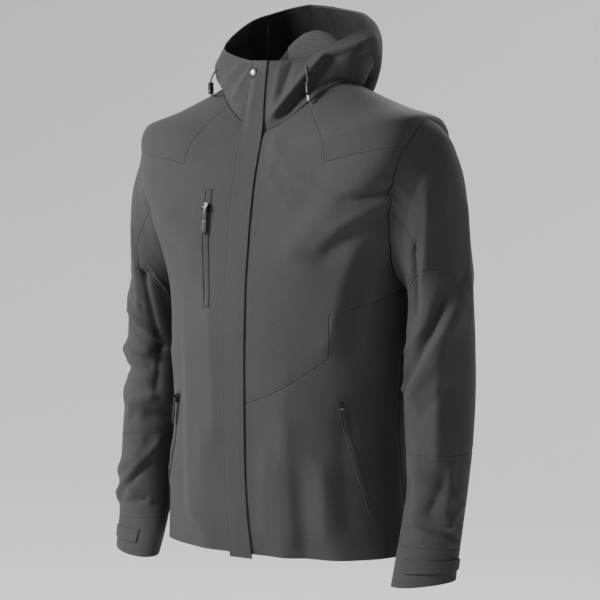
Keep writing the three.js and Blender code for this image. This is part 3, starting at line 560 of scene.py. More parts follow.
# %% Tables of the sleeves
# section, outer x y z, inner x y z, half depth
SLEEVE_SECTIONS = np.array([
    (1, 251, 6, -90, 196, 4, -307, 77),
    (2, 266, 12, -135, 199, 6, -316, 78),
    (3, 273, 15, -190, 199, 8, -330, 75),
    (4, 278, 16, -250, 198, 8, -350, 70),
    (5, 283, 14, -310, 196, 7, -375, 69),
    (6, 287, 10, -365, 194, 6, -401, 67),
    (7, 290, 6, -415, 193, 4, -433, 65),
    (8, 291.5, 3, -460, 193, 3, -468, 62),
    (9, 293, -5, -520, 199, -7, -522, 57),
    (10, 292, -14, -579, 206, -18, -579, 52),
    (11, 291, -22, -625, 205, -34, -622, 44),
    (12, 289, -26, -668, 204, -52, -664, 35),
    (13, 286, -34, -712, 206, -80, -722, 30),
], float)
ELBOW_MIDDLE, ELBOW_OUTWARD, ELBOW_FORWARD = 3.9, 0.92, -0.45
LOWER_SEAM, CUFF_SEAM, CUFF_END = 9.25, 12, 13
SECTION_PITCH = 55
ARMHOLE_ROWS = ROW_TIP - ROW_CHEST
SLEEVE_ROUND = 2 * ARMHOLE_ROWS
SROW_ELBOW, SROW_LOWER, SROW_CUFF, SROW_END = 6, 13, 17, 20
print("sleeve sections", len(SLEEVE_SECTIONS))

# %% Tables of the hood
# degrees round, rim x y z, belly, sag on the shoulder
HOOD_RIM = np.array([
    (-180, -4, 80, 122, 0, 0), (-167, -20, 78, 123, 2, 10), (-143, -65, 75, 116, 6, 36),
    (-119, -100, 45, 99, 12, 38), (-80, -104, -28, 54, 14, 12), (-54, -55, -52, 33, 8, 3),
    (0, 0, -75, 26, 3, 0), (48, 50, -55, 31, 8, 4), (72, 70, -33, 46, 20, 10),
    (89, 88, -12, 58, 30, 20), (112, 100, 30, 80, 26, 36), (135, 85, 75, 102, 12, 38),
    (162, 30, 82, 117, 3, 14), (180, -4, 80, 122, 0, 0),
], float)
SAG_SPREAD = 1.6
# row, distance behind the neck seam, height over it, at the centre back
HOOD_BAG = np.array([
    (0, 0, 0), (1, 0, 24), (2, 2, 46), (3, 6, 62), (4, 14, 69), (5, 22, 60), (6, 27, 36),
    (7, 32, -5), (8, 40, -45), (9, 54, -72), (10, 72, -70), (11, 84, -40), (12, 86, 10),
    (13, 79, 52), (14, 56, 90), (15, 20, 112),
], float)
HOOD_ROWS = 15
BAG_START_TURN = 98
print("hood rows", HOOD_ROWS)

# %% [markdown]
# ## Folds
# A fold is a soft ridge or trough along a line. The first tables are the large ones, which
# the CAD model has too. The others are the creases that the camera sees, placed one by one.
# %% Fold tables
FOLD_MM_PER_DEGREE = 2.6


def fold_table(rows, both_sides=()):
    """A table of folds; those of both sides are repeated with their turns the other way."""
    other = [(-turn, level, -last, *rest) for turn, level, last, *rest in both_sides]
    return np.array([*rows, *both_sides, *other], float)


# turn and level of one end, turn and level of the other, width, height
BODY_FOLDS = fold_table([
    (64, -105, 30, -235, 20, 6), (66, -150, 45, -260, 16, -5), (16, -30, 34, -130, 14, 3),
    (-62, -130, -35, -230, 18, 3), (24, -690, 20, -560, 22, 5), (52, -690, 46, -580, 20, 5),
    (38, -690, 34, -590, 16, -4), (-34, -690, -28, -520, 22, 4),
    (-70, -690, -66, -560, 20, 4), (120, -690, 125, -540, 26, 6),
    (165, -690, 160, -560, 26, 5), (-130, -690, -135, -550, 26, 6),
], [(112, -240, 150, -330, 20, 5), (100, -460, 160, -430, 20, 4)])
# degrees round and section of one end, of the other, width, height
SLEEVE_FOLDS = {
    1: fold_table([
        (20, 5.2, 110, 7.6, 18, 7), (60, 5.0, 125, 7.0, 15, -6), (30, 10.4, 120, 9.6, 14, 5),
        (20, 11.4, 110, 10.9, 12, 4), (240, 6.0, 300, 7.2, 16, 5),
        (350, 3.0, 360, 5.5, 14, 4),
    ]),
    -1: fold_table([
        (20, 6.9, 110, 6.5, 14, 8), (30, 7.5, 110, 7.2, 12, -6), (40, 5.1, 120, 5.6, 12, 4),
        (20, 8.1, 100, 8.7, 12, 5), (10, 10.6, 100, 9.9, 12, 5),
        (10, 11.5, 100, 11.1, 10, 4), (240, 6.2, 310, 7.0, 16, 5),
    ]),
}
BODY_CREASES = fold_table([
    (68, -148, 50, -118, 7, 4), (70, -160, 52, -164, 6, -4.5), (68, -172, 48, -208, 8, 4.5),
    (66, -196, 46, -240, 9, -2.5), (57, -188, 43, -233, 13, 3.5),
    (56, -245, 46, -380, 13, 3.5), (66, -250, 58, -390, 14, -4), (74, -210, 66, -330, 10, 3),
    (13, -70, 28, -165, 10, 2), (20, -60, 38, -150, 9, -1.8), (30, -90, 44, -150, 8, 1.6),
    (-20, -520, -24, -330, 12, 1.8), (-40, -640, -42, -400, 12, 2.4),
    (-50, -620, -49, -380, 11, -2.4), (-64, -600, -62, -400, 8, 2.4),
    (12, -650, 14, -540, 9, 1.8), (30, -660, 26, -500, 12, 2.2), (45, -650, 43, -560, 11, 3),
    (56, -640, 54, -500, 12, -2.6), (22, -560, 26, -430, 16, 1.8),
    (175, -400, 178, -600, 16, 2.2), (-160, -420, -150, -560, 12, 2.2),
    (-66, -150, -48, -190, 8, 2.2), (-66, -180, -46, -250, 9, -2),
], [(140, -250, 165, -420, 14, 2.8), (105, -600, 108, -430, 14, 2.2),
    (150, -130, 170, -240, 14, 2.2), (118, -180, 135, -300, 9, 3)])
SLEEVE_BACK_CREASES = [
    (200, 4.5, 260, 6, 10, 3), (260, 8, 300, 9, 12, 2.5), (210, 2.6, 250, 3.8, 10, 3),
    (230, 10.5, 300, 10.8, 8, 2.5), (190, 6.6, 250, 6.9, 8, -3), (220, 11.4, 310, 11.1, 6, 3),
]
SLEEVE_CREASES = {
    1: fold_table([
        (126, 2.4, 130, 5, 9, 4), (100, 2.2, 108, 4.6, 9, -3.5), (60, 1.4, 84, 3.4, 14, 3),
        (50, 4.7, 130, 7.6, 8, -4), (28, 4.9, 112, 7.3, 9, 4), (14, 4.5, 70, 5.9, 7, -2.5),
        (60, 6.7, 66, 9.2, 17, 5), (130, 5.3, 136, 7.4, 7, 3), (96, 5.4, 140, 5.9, 6, 2.5),
        (100, 7.9, 146, 7.4, 7, 2.5), (40, 7.4, 90, 8.3, 8, -2), (104, 9.2, 106, 11.2, 16, 3.2),
        (56, 9.9, 80, 10.8, 9, -3.5), (40, 9.6, 52, 11, 9, 2.5), (120, 9.9, 146, 10.6, 7, -2.5),
        (45, 11.2, 122, 11.02, 5.5, 3.5), (38, 11.5, 122, 11.34, 5, -3.5),
        (20, 11.85, 100, 11.62, 5, 2.5), (8, 10.6, 60, 11.3, 7, 2.5),
        (300, 3, 330, 4.5, 12, 2.5), (200, 7.3, 260, 7, 8, 3), *SLEEVE_BACK_CREASES,
    ]),
    -1: fold_table([
        (69, 5.7, 133, 6.2, 6, -4), (66, 5.4, 128, 5.85, 7, 3.5), (80, 8.45, 118, 8.2, 7, 4.5),
        (118, 8.2, 160, 8.4, 7, 4), (84, 8.8, 150, 8.75, 6, -4), (141, 9.5, 56, 11.1, 8, 4),
        (130, 10, 70, 11.3, 6, -3), (124, 2.6, 108, 3.3, 10, -4), (108, 3.3, 133, 6, 9, -3.5),
        (133, 6.2, 121, 8.1, 9, -3.5), (80, 2.4, 92, 4.8, 12, 3), (60, 6.9, 115, 6.8, 6, -3.5),
        (56, 7.2, 120, 7.3, 7, 3), (90, 10.9, 140, 11.4, 6, 3), (50, 11.6, 130, 11.35, 5, -3),
        (60, 9.3, 110, 9.4, 8, 2.5), (48, 4.4, 100, 4.7, 7, -2.5), (150, 2.4, 165, 4, 9, 3.5),
        *SLEEVE_BACK_CREASES,
    ]),
}
# turn and row of one end, of the other, width, height
HOOD_MM_PER_DEGREE, HOOD_MM_PER_ROW = 1.6, 9
HOOD_CREASES = fold_table([
    (64, 13.5, 14, 3, 8, 7), (72, 10, 30, 1.5, 12, -8), (58, 4, 118, 4.5, 20, -8),
    (34, 14, 22, 7, 6, -2.5), (20, 14, 12, 5, 6, 2), (80, 12.4, 112, 12.6, 14, 4.5),
    (78, 7.6, 102, 7.8, 24, -6), (92, 8.5, 128, 9.5, 6, -3), (-28, 14, -40, 4, 6, 3),
    (-38, 14, -50, 6, 6, -3), (-50, 13, -60, 4, 7, 3), (-12, 12, -16, 1, 6, 1.6),
    (-22, 9, -24, 0.5, 6, -1.8), (-70, 12, -84, 4, 9, 3), (75, 13, 120, 14, 9, 1.6),
    (-100, 6, -140, 8, 10, -3), (140, 7, 165, 8.5, 10, -3), (-95, 10, -120, 12, 10, 3),
], [(150, 10, 170, 12, 16, 3)])
CREASE_DEPTH, CREASE_POWER = 1.35, 1.5
for table in (BODY_CREASES, *SLEEVE_CREASES.values(), HOOD_CREASES):
    table[:, 5] *= CREASE_DEPTH
print("creases", len(BODY_CREASES), "on the body")

# %% Curves through the tables
def sample(rows, at):
    """Every column of a table at one value of its key, by a smooth curve."""
    keys = rows[:, 0]
    last = len(keys) - 1
    index = min(max(int(np.searchsorted(keys, at, side="left")) - 1, 0), last - 1)
    before, start = rows[max(index - 1, 0)], rows[index]
    end, after = rows[index + 1], rows[min(index + 2, last)]
    span = end[0] - start[0]
    t = min(max((at - start[0]) / span, 0), 1)
    slope_start = (end - before) / (end[0] - before[0]) * span
    slope_end = (after - start) / (after[0] - start[0]) * span
    bend = slope_start * t * (1 - t) ** 2 - slope_end * t * t * (1 - t)
    return start + (end - start) * t * t * (3 - 2 * t) + bend


FULL_TURNS = np.array([[-360.0], [0.0], [360.0]])


def ridges(u, v, folds, u_scale, v_scale, power=2):
    """Height at (u, v) of all the folds of a table, the same after a full turn of u."""
    ua, va = (folds[:, 0] + FULL_TURNS) * u_scale, folds[:, 1] * v_scale
    du, dv = (folds[:, 2] - folds[:, 0]) * u_scale, folds[:, 3] * v_scale - va
    along = ((u - ua) * du + (v - va) * dv) / (du * du + dv * dv)
    nearest = np.clip(along, 0, 1)
    away = np.hypot(u - ua - du * nearest, v - va - dv * nearest)
    return float(np.sum(folds[:, 5] * np.exp(-((away / folds[:, 4]) ** power))))


def mix(start, end, part):
    return start + (end - start) * part


def clamp(value):
    return min(max(value, 0), 1)


print("middle ring", sample(BODY_RINGS, -400).round(1))


# %% Surface of the body
def body_point(turn, level):
    """Point by degrees round from the centre front and level at the side."""
    ring = sample(BODY_RINGS, level)
    side, front, back, half, fore, aft, middle, power = ring
    across, along = math.sin(math.radians(turn)), -math.cos(math.radians(turn))
    depth = middle - fore if along < 0 else aft - middle
    centre = front if along < 0 else back
    reach = (abs(across / half) ** power + abs(along / depth) ** power) ** (-1 / power)
    u = turn * FOLD_MM_PER_DEGREE
    reach += ridges(u, level, BODY_FOLDS, FOLD_MM_PER_DEGREE, 1)
    reach += ridges(u, level, BODY_CREASES, FOLD_MM_PER_DEGREE, 1, CREASE_POWER)
    height = side + (centre - side) * along * along
    return Vector((reach * across, middle + reach * along, height))


def front_turn(side, column, depth, limit):
    edge, flap = (ZIP_LEFT, FLAP_EDGE) if side > 0 else (ZIP_RIGHT, FLAP_SEAM)
    edge_turn = math.degrees(math.atan2(edge, depth))
    flap_turn = math.degrees(math.atan2(flap, depth))
    if column <= 1:
        return mix(edge_turn, flap_turn, column)
    if column <= POINT_COLUMN:
        return mix(flap_turn, side * YOKE_POINT_TURN, (column - 1) / (POINT_COLUMN - 1))
    part = (column - POINT_COLUMN) / (FRONT_COLUMNS - POINT_COLUMN)
    return side * mix(YOKE_POINT_TURN, limit, part)


def row_level(row, column):
    inner = clamp(column / POINT_COLUMN)
    outer = clamp((column - POINT_COLUMN) / (FRONT_COLUMNS - POINT_COLUMN))
    slant = mix(SLANT_CENTRE, SLANT_CORNER, inner ** SLANT_BEND)
    chest = mix(CHEST_LEVEL, UNDERARM, outer)
    if ROW_CHEST < row < ROW_YOKE:
        part = (row - ROW_CHEST) / (ROW_YOKE - ROW_CHEST)
        return mix(chest, YOKE_SEAM, part ** YOKE_EASE)
    return float(np.interp(row, (0, ROW_SLANT, ROW_CHEST, ROW_YOKE, ROW_TIP, ROW_NECK),
                           (HEM, slant, chest, YOKE_SEAM, SHOULDER_TIP, NECK_SEAM)))


def armhole_turn(level, behind):
    if level <= UNDERARM or level >= SHOULDER_TIP:
        return 90
    return sample(ARMHOLE, level)[2 if behind else 1]


def front_point(side, column, row):
    level = row_level(row, column)
    ring = sample(BODY_RINGS, level)
    turn = front_turn(side, column, ring[6] - ring[4], armhole_turn(level, False))
    return body_point(turn, level)


def back_point(side, column, row):
    level = row_level(row, FRONT_COLUMNS)
    return body_point(side * mix(armhole_turn(level, True), 180, column / BACK_COLUMNS), level)


print("front waist", front_point(1, 4, 8), "back", back_point(1, 6, 8))


# %% Surface of the hood
def hood_point(turn, row):
    seam = body_point(turn, NECK_SEAM)
    rim_row = sample(HOOD_RIM, turn)
    rim = Vector(rim_row[1:4])
    belly, sag = rim_row[4:6]
    out = Vector((math.sin(math.radians(turn)), -math.cos(math.radians(turn)), 0))
    part = row / HOOD_ROWS
    plain = seam.lerp(rim, part) + out * belly * math.sin(math.pi * part)
    plain.z -= sag * math.sin(math.pi * min(part * SAG_SPREAD, 1)) ** 2
    shape, last = sample(HOOD_BAG, row), HOOD_BAG[-1]
    bag = seam + out * shape[1] + Vector((0, 0, shape[2]))
    end = seam + out * last[1] + Vector((0, 0, last[2]))
    bag += (rim - end) * part ** 3
    t = clamp((abs(turn) - BAG_START_TURN) / (180 - BAG_START_TURN))
    point = plain.lerp(bag, t * t * (3 - 2 * t))
    crease = ridges(turn * HOOD_MM_PER_DEGREE, row * HOOD_MM_PER_ROW, HOOD_CREASES,
                    HOOD_MM_PER_DEGREE, HOOD_MM_PER_ROW, CREASE_POWER)
    return point + out * crease * clamp((HOOD_ROWS - row) / 2) * clamp(row / 2)


def collar_point(side, column, row):
    depth = BODY_RINGS[-1][6] - hood_point(0, row).y
    return hood_point(front_turn(side, column, depth, 90), row)


def nape_point(side, column, row):
    return hood_point(side * mix(90, 180, column / BACK_COLUMNS), row)


print("rim at the front", hood_point(0, HOOD_ROWS), "at the back", hood_point(180, HOOD_ROWS))


# %% Surface of the sleeves
def section_point(side, round_degrees, section):
    row = sample(SLEEVE_SECTIONS, section)
    outer = Vector((side * row[1], row[2], row[3]))
    inner = Vector((side * row[4], row[5], row[6]))
    deep = row[7]
    outward = (outer - inner) / 2
    flat = Vector((outward.y, -outward.x, 0)).normalized() * side
    scale = math.pi * deep / 180
    fold = 0
    for folds, power in ((SLEEVE_FOLDS[side], 2), (SLEEVE_CREASES[side], CREASE_POWER)):
        fold += ridges(round_degrees * scale, section * SECTION_PITCH, folds, scale,
                       SECTION_PITCH, power)
    place = outward * math.cos(math.radians(round_degrees))
    place += flat * deep * math.sin(math.radians(round_degrees))
    return (outer + inner) / 2 + place + place.normalized() * fold


def armhole_point(side, around):
    if around <= ARMHOLE_ROWS:
        return front_point(side, FRONT_COLUMNS, ROW_CHEST + around)
    return back_point(side, 0, ROW_CHEST + SLEEVE_ROUND - around)


def sleeve_point(side, around, row):
    place = around % SLEEVE_ROUND
    turn = (180 - 360 * place / SLEEVE_ROUND + 360) % 360
    angle = math.radians(turn)
    elbow = ELBOW_MIDDLE + ELBOW_OUTWARD * math.cos(angle) + ELBOW_FORWARD * math.sin(angle)
    section = float(np.interp(row, (0, SROW_ELBOW, SROW_LOWER, SROW_CUFF, SROW_END),
                              (0, elbow, LOWER_SEAM, CUFF_SEAM, CUFF_END)))
    if section >= 1:
        return section_point(side, turn, section)
    start = armhole_point(side, place)
    first, second = section_point(side, turn, 1), section_point(side, turn, 2)
    slope = (second - start) * (0.5 * section * (1 - section) * section)
    return start.lerp(first, section) - slope


print("cuff", sleeve_point(1, 0, SROW_END), sleeve_point(1, 11, SROW_END))

# %% [markdown]
# ## Panels of cloth
# Each panel is a flat grid that is moved onto the sewn surface, with closer lines beside the
# seams, where the cloth rolls in. The neighbours share the surface, so their edges meet.
# %% Grid lines and patches
CLOTH = 2.0
LAY_GAP, FLAP_CLOTH, FACING_CLOTH = 0.3, 2.6, 1.2
FLAP_DROP, FLAP_BRIDGE = 6, 3.5
CELL = 5.5
SEAM_LINES = (0.8, 1.8, 3.0, 4.4, 6.2)


def flap_sheet(column, row):
    if row <= ROW_NECK:
        level = row_level(row, 0.5)
        depth = sample(BODY_RINGS, level)
        depth = depth[6] - depth[4]
    else:
        depth = BODY_RINGS[-1][6] - hood_point(0, row - ROW_NECK).y
    turns = [math.degrees(math.atan2(edge, depth)) for edge in (FLAP_SEAM, FLAP_EDGE)]
    turn = mix(turns[0], turns[1], column)
    if row > ROW_NECK:
        return hood_point(turn, row - ROW_NECK)
    point = body_point(turn, level)
    point.z -= FLAP_DROP * clamp(1 - row)
    return point


def flap_point(side, column, row):
    """Column 0 is the flap's seam, column 1 its free edge; the rows run on up the collar.

    Over the neck seam the flap doesn't fold but bridges it in one soft bend.
    """
    if abs(row - ROW_NECK) >= FLAP_BRIDGE:
        return flap_sheet(column, row)
    low, high = ROW_NECK - FLAP_BRIDGE, ROW_NECK + FLAP_BRIDGE
    t = (row - low) / (high - low)
    ends = [flap_sheet(column, place) for place in (low, ROW_NECK, high)]
    return ends[0].lerp(ends[1], t).lerp(ends[1].lerp(ends[2], t), t)


# how a patch is measured: its point, breaks by column and row, millimetres of each, the row
# with a free edge, and the side whose grid has to be turned over, or 0 for neither
PATCHES = {
    "front": (front_point, (0, POINT_COLUMN, FRONT_COLUMNS),
              (0, ROW_SLANT, ROW_CHEST, ROW_YOKE, ROW_NECK), 22, 26, 0, -1),
    "back": (back_point, (0, BACK_COLUMNS), (0, ROW_YOKE, ROW_NECK), 40, 26, 0, -1),
    "collar": (collar_point, (0, FRONT_COLUMNS), (0, HOOD_ROWS), 18, 8, HOOD_ROWS, -1),
    "nape": (nape_point, (0, 3, 4, 6), (0, 4, 10, 15), 36, 24, 15, -1),
    "sleeve": (sleeve_point, (0, 3, 5, 11, 17, 22), (0, 6, 13, 17, 18, 19, 20), 24, 38, 20, 1),
    "flap": (flap_point, (0, 1), (0, 27, 42), 38, 22, None, 0),
}


def grid_lines(breaks, scale):
    lines = [breaks[0]]
    for start, end in zip(breaks, breaks[1:]):
        length = (end - start) * scale
        ends = [step for step in SEAM_LINES if step < length / 3]
        close = ends[-1] if ends else 0
        middle = np.linspace(close, length - close, max(round(length / CELL), 2) + 1)
        places = ends[:-1] + list(middle) + [length - step for step in ends[-2::-1]]
        lines += [start + place / scale for place in places if place > 0.01] + [end]
    return sorted(set(round(line, 4) for line in lines))


def patch_grid(kind, side):
    """Lines, points and lengths along both directions of one patch, worked out once."""
    shape, column_breaks, row_breaks, wide, tall = PATCHES[kind][:5]
    columns, rows = grid_lines(column_breaks, wide), grid_lines(row_breaks, tall)
    points = np.array([[shape(side, c, r)[:] for r in rows] for c in columns]) * MM
    across = np.linalg.norm(np.diff(points, axis=0), axis=2)
    up = np.linalg.norm(np.diff(points, axis=1), axis=2)
    across = np.vstack([np.zeros((1, len(rows))), np.cumsum(across, axis=0)])
    up = np.hstack([np.zeros((len(columns), 1)), np.cumsum(up, axis=1)])
    return columns, rows, points, across, up


grids = {}
for kind in PATCHES:
    for side in (1, -1):
        if kind != "flap" or side == 1:
            grids[kind, side] = patch_grid(kind, side)
print("grid points", sum(grid[2].shape[0] * grid[2].shape[1] for grid in grids.values()))


# %% Helper: lay one part of a panel
def add_part(bm, kind, side, columns, rows, origin):
    """Part of a patch as a grid, moved onto the surface, with its lengths as UV."""
    column_lines, row_lines, points, across, up = grids[kind, side]
    c0, c1 = (column_lines.index(value) for value in columns)
    r0, r1 = (row_lines.index(value) for value in rows)
    start, base = column_lines.index(origin[0]), row_lines.index(origin[1])
    free_row, facing = PATCHES[kind][5:]
    bm.loops.layers.uv.verify()
    free_layer = bm.verts.layers.int.get("free") or bm.verts.layers.int.new("free")

    def place_of(column, row):
        i, j = c0 + column, r0 + row
        lengths = (side * (across[i, j] - across[start, j]), up[i, j] - up[i, base])
        return points[i, j], lengths

    cells, faces = lay_grid(bm, c1 - c0, r1 - r0, place_of)
    for vert, (_, row) in cells.items():
        vert[free_layer] = int(row_lines[r0 + row] == free_row)
    if side * facing > 0:
        bmesh.ops.reverse_faces(bm, faces=faces)


# the rectangles of each panel: patch, side, columns, rows, where its lengths start
def rectangles(name, side):
    return {
        "front_right": [("front", -1, (0, 11), (0, 19), (0, 0)),
                        ("front", -1, (0, 7), (19, 27), (0, 0))],
        "front_left_lower": [("front", 1, (0, 11), (0, 8), (0, 0)),
                             ("front", 1, (7, 11), (8, 11), (0, 0))],
        "front_left_upper": [("front", 1, (0, 7), (8, 27), (0, 0)),
                             ("front", 1, (7, 11), (11, 19), (0, 0))],
        "back": [("back", 1, (0, 6), (0, 19), (6, 0)), ("back", -1, (0, 6), (0, 19), (6, 0))],
        "yoke": [("front", side, (7, 11), (19, 27), (11, 27)),
                 ("back", side, (0, 6), (19, 27), (0, 27))],
        "hood": [("collar", side, (0, 11), (0, 15), (11, 0)),
                 ("nape", side, (0, 3), (0, 15), (0, 0))],
        "hood_crown": [("nape", 1, (3, 6), (0, 15), (6, 0)),
                       ("nape", -1, (3, 6), (0, 15), (6, 0))],
        "sleeve_under": [("sleeve", side, (0, 5), (0, 6), (0, 0)),
                         ("sleeve", side, (17, 22), (0, 6), (22, 0))],
        "sleeve_cap": [("sleeve", side, (5, 17), (0, 6), (11, 0))],
        "sleeve_elbow": [("sleeve", side, (0, 22), (6, 13), (11, 6))],
        "sleeve_forearm": [("sleeve", side, (0, 22), (13, 17), (11, 13))],
        "cuff": [("sleeve", side, (0, 22), (17, 20), (11, 17))],
        "cuff_tab": [("sleeve", side, (3, 11), (18, 19), (3, 18))],
        "storm_flap": [("flap", 1, (0, 1), (0, 42), (0, 0))],
        # the crown facing lies on the wearer's left only, and its lighter cloth is painted light on that side of the
        # hood's inside
        "crown_facing": [("nape", 1, (3, 6), (10, 15), (3, 10))],
        "neck_lining": [("nape", 1, (4, 6), (0, 4), (6, 0)),
                        ("nape", -1, (4, 6), (0, 4), (6, 0))],
    }[name]


print("helpers for panels ready")

# %% Helper: finish of a panel's surface
GROOVE, GROOVE_WIDTH, SEAM_DRAW = 0.9, 1.3, 0.03
STITCH_DIP, STITCH_AWAY, STITCH_WIDTH = 0.35, 4.4, 1.3
HEM_STITCH = 25
PUCKER, PUCKER_REACH, PUCKER_SIZE = 0.55, 11, 10
WOBBLE, WOBBLE_SIZE = 0.9, 55


def nearest_tree(verts):
    tree = kdtree.KDTree(max(len(verts), 1))
    for index, vert in enumerate(verts):
        tree.insert(vert.co, index)
    tree.balance()
    return tree if verts else None


def bell(distance, centre, width):
    return math.exp(-(((distance - centre) / width) ** 2))


def shape_surface(bm, lift, calm):
    """Seams that sink in, puckers beside them and the slow wobble of worn cloth."""
    free_layer = bm.verts.layers.int["free"]
    bm.normal_update()
    edge = [vert for vert in bm.verts if vert.is_boundary]
    seam_tree = nearest_tree([vert for vert in edge if not vert[free_layer]])
    free_tree = nearest_tree([vert for vert in edge if vert[free_layer]])
    draw = {}
    for vert in edge:
        if not vert[free_layer]:
            inner = [link.other_vert(vert) for link in vert.link_edges]
            inner = [other for other in inner if not other.is_boundary]
            if inner:
                draw[vert] = (inner[0].co - vert.co).normalized() * (SEAM_DRAW * MM)
    moves = []
    for vert in bm.verts:
        seam = seam_tree.find(vert.co)[2] / MM if seam_tree else 1000
        free = free_tree.find(vert.co)[2] / MM if free_tree else 1000
        height = lift - GROOVE * calm * bell(seam, 0, GROOVE_WIDTH)
        height -= STITCH_DIP * bell(seam, STITCH_AWAY, STITCH_WIDTH)
        height -= STITCH_DIP * bell(free, HEM_STITCH, STITCH_WIDTH)
        near = math.exp(-seam / PUCKER_REACH) + 0.5 * math.exp(-free / PUCKER_REACH)
        pucker = noise.noise(vert.co / (PUCKER_SIZE * MM)) * PUCKER * near
        wobble = noise.noise(vert.co / (WOBBLE_SIZE * MM)) * WOBBLE
        quiet = 1 - bell(seam, 0, STITCH_AWAY)
        height += (pucker * quiet + wobble * (1 - math.exp(-seam / PUCKER_REACH))) * calm
        moves.append((vert, vert.normal * (height * MM) + draw.get(vert, Vector())))
    for vert, move in moves:
        vert.co += move


print("surface helpers ready")


# %% Helper: a panel as an object
LEAST_CUT, MERGE = 0.3, 0.05
trees, panels = {}, {}


def cloth_panel(name, shape, side, materials, neighbours, lift=0, thickness=CLOTH, calm=1,
                slot="shell_fabric"):
    bm = bmesh.new()
    for part in rectangles(shape, side):
        add_part(bm, *part)
    bmesh.ops.remove_doubles(bm, verts=bm.verts, dist=MERGE * MM)
    uv_layer = bm.loops.layers.uv.verify()
    lengths = np.array([loop[uv_layer].uv[:] for face in bm.faces for loop in face.loops])
    area = sum(face.calc_area() for face in bm.faces)
    shape_surface(bm, lift, calm)
    for face in bm.faces:
        face.smooth = True
    for edge in bm.edges:
        edge.smooth = not edge.is_boundary
    bm.normal_update()
    trees[name] = BVHTree.FromBMesh(bm)
    piece = finish_piece(name + "_cloth", bm, materials, slot, nodes=[name])
    wall = piece.modifiers.new("thickness", "SOLIDIFY")
    wall.thickness = thickness * MM
    wall.offset = -1
    wall.material_offset = 1
    wide, tall = (float(size) for size in np.ptp(lengths, axis=0))
    cut = min(max(area, LEAST_CUT * wide * tall), wide * tall)
    panels[name] = (piece, wide, tall, cut, neighbours)


print("panel helper ready")

# %% [markdown]
# ## The cloth
# Softshell is a tightly woven stretch face bonded to thin fleece. From a step away it is a
# plain dark grey with a faint heather, and close up it shows the threads of the weave. The
# weave follows the UV map, which holds true lengths along the cloth, so it turns with it.
# %% Woven softshell
SHEEN_ROUGHNESS, CLOTH_SPECULAR = 0.45, 0.16
FLECK_SCALE, FLECK_RELIEF = 900.0, 0.00008
CLOUD_SCALE, CLOUD_SHADE = 14.0, 0.9
MESH_RELIEF = 0.0003


def woven_material(name, dark, light, roughness, sheen, thread=0.0011, relief=0.00012):
    """Two crossing bands of thread on the UV map, over a heather and slow stains of wear."""
    material, shader = new_material(name, light, roughness)
    shader.inputs["Sheen Weight"].default_value = sheen
    shader.inputs["Sheen Roughness"].default_value = SHEEN_ROUGHNESS
    shader.inputs["Specular IOR Level"].default_value = CLOTH_SPECULAR
    links = material.node_tree.links
    where = add_node(material, "ShaderNodeTexCoord")
    place = [("Vector", where.outputs["Object"])]
    weave = crossed_waves(material, [where.outputs["UV"]] * 2, "XY", thread, "MULTIPLY",
                          Distortion=0.6, Detail=1.0)
    fleck = add_node(material, "ShaderNodeTexNoise", place, Scale=FLECK_SCALE, Detail=2.0,
                     Roughness=0.7)
    cloud = add_node(material, "ShaderNodeTexNoise", place, Scale=CLOUD_SCALE, Detail=3.0)
    heather = colour_ramp(material, fleck.outputs["Fac"], 0.32, 0.68, dark, light)
    wear = colour_ramp(material, cloud.outputs["Fac"], 0.3, 0.7, (CLOUD_SHADE,) * 3, (1.0,) * 3)
    tint = add_node(material, "ShaderNodeMix", data_type="RGBA", blend_type="MULTIPLY")
    tint.inputs[0].default_value = 1.0
    links.new(heather, tint.inputs[6])
    links.new(wear, tint.inputs[7])
    links.new(tint.outputs[2], shader.inputs["Base Color"])
    first = bump_from(material, shader, weave, relief)
    bump_from(material, shader, fleck.outputs["Fac"], FLECK_RELIEF, before=first)
    return material


def mesh_material(name, ground, dot, pitch):
    """Knitted mesh: rows of light dots on the UV map over a dark ground."""
    material, shader = new_material(name, ground, 0.9)
    where = add_node(material, "ShaderNodeTexCoord")
    dots = crossed_waves(material, [where.outputs["UV"]] * 2, "XY", pitch, "MULTIPLY")
    tint_by(material, shader, dots, 0.45, 0.7, ground, dot)
    bump_from(material, shader, dots, MESH_RELIEF)
    return material


softshell = woven_material("softshell", (0.018, 0.018, 0.0185), (0.032, 0.032, 0.0327),
                           0.85, 0.04)
fleece = woven_material("fleece_inside", (0.008, 0.008, 0.0085), (0.015, 0.015, 0.0155), 0.95,
                        0.08, thread=0.0025, relief=0.0004)
# the facing is a lighter grey than the shell and the fleece and lies only in the wearer's left crown: its lighter
# colour is painted light falling into the hood
painted_light_facing = woven_material("facing", (0.03, 0.03, 0.031), (0.05, 0.05, 0.051), 0.85, 0.05)
mesh_lining = mesh_material("mesh_lining", (0.006, 0.006, 0.0063), (0.05, 0.05, 0.051), 0.0032)
print("materials", softshell.name, fleece.name, painted_light_facing.name, mesh_lining.name)

# %% [markdown]
# ## Sew the panels
# Fronts, back, yokes, sleeves and hood each become one panel, and each is declared as a
# sheet with the flat size that its lengths on the surface give.
# %% Fronts, back and hood
SHELL = [softshell, fleece]
# each panel with what it hangs from
SINGLE_PANELS = {
    "front_right": ["yoke_right", "front_zip"], "front_left_lower": ["front_left_upper"],
    "front_left_upper": ["yoke_left"], "back": ["yoke_left", "yoke_right"],
    "hood_crown": ["hood_left", "hood_right"],
}
for name, neighbours in SINGLE_PANELS.items():
    cloth_panel(name, name, 1, SHELL, neighbours)
print("panels", sorted(panels))

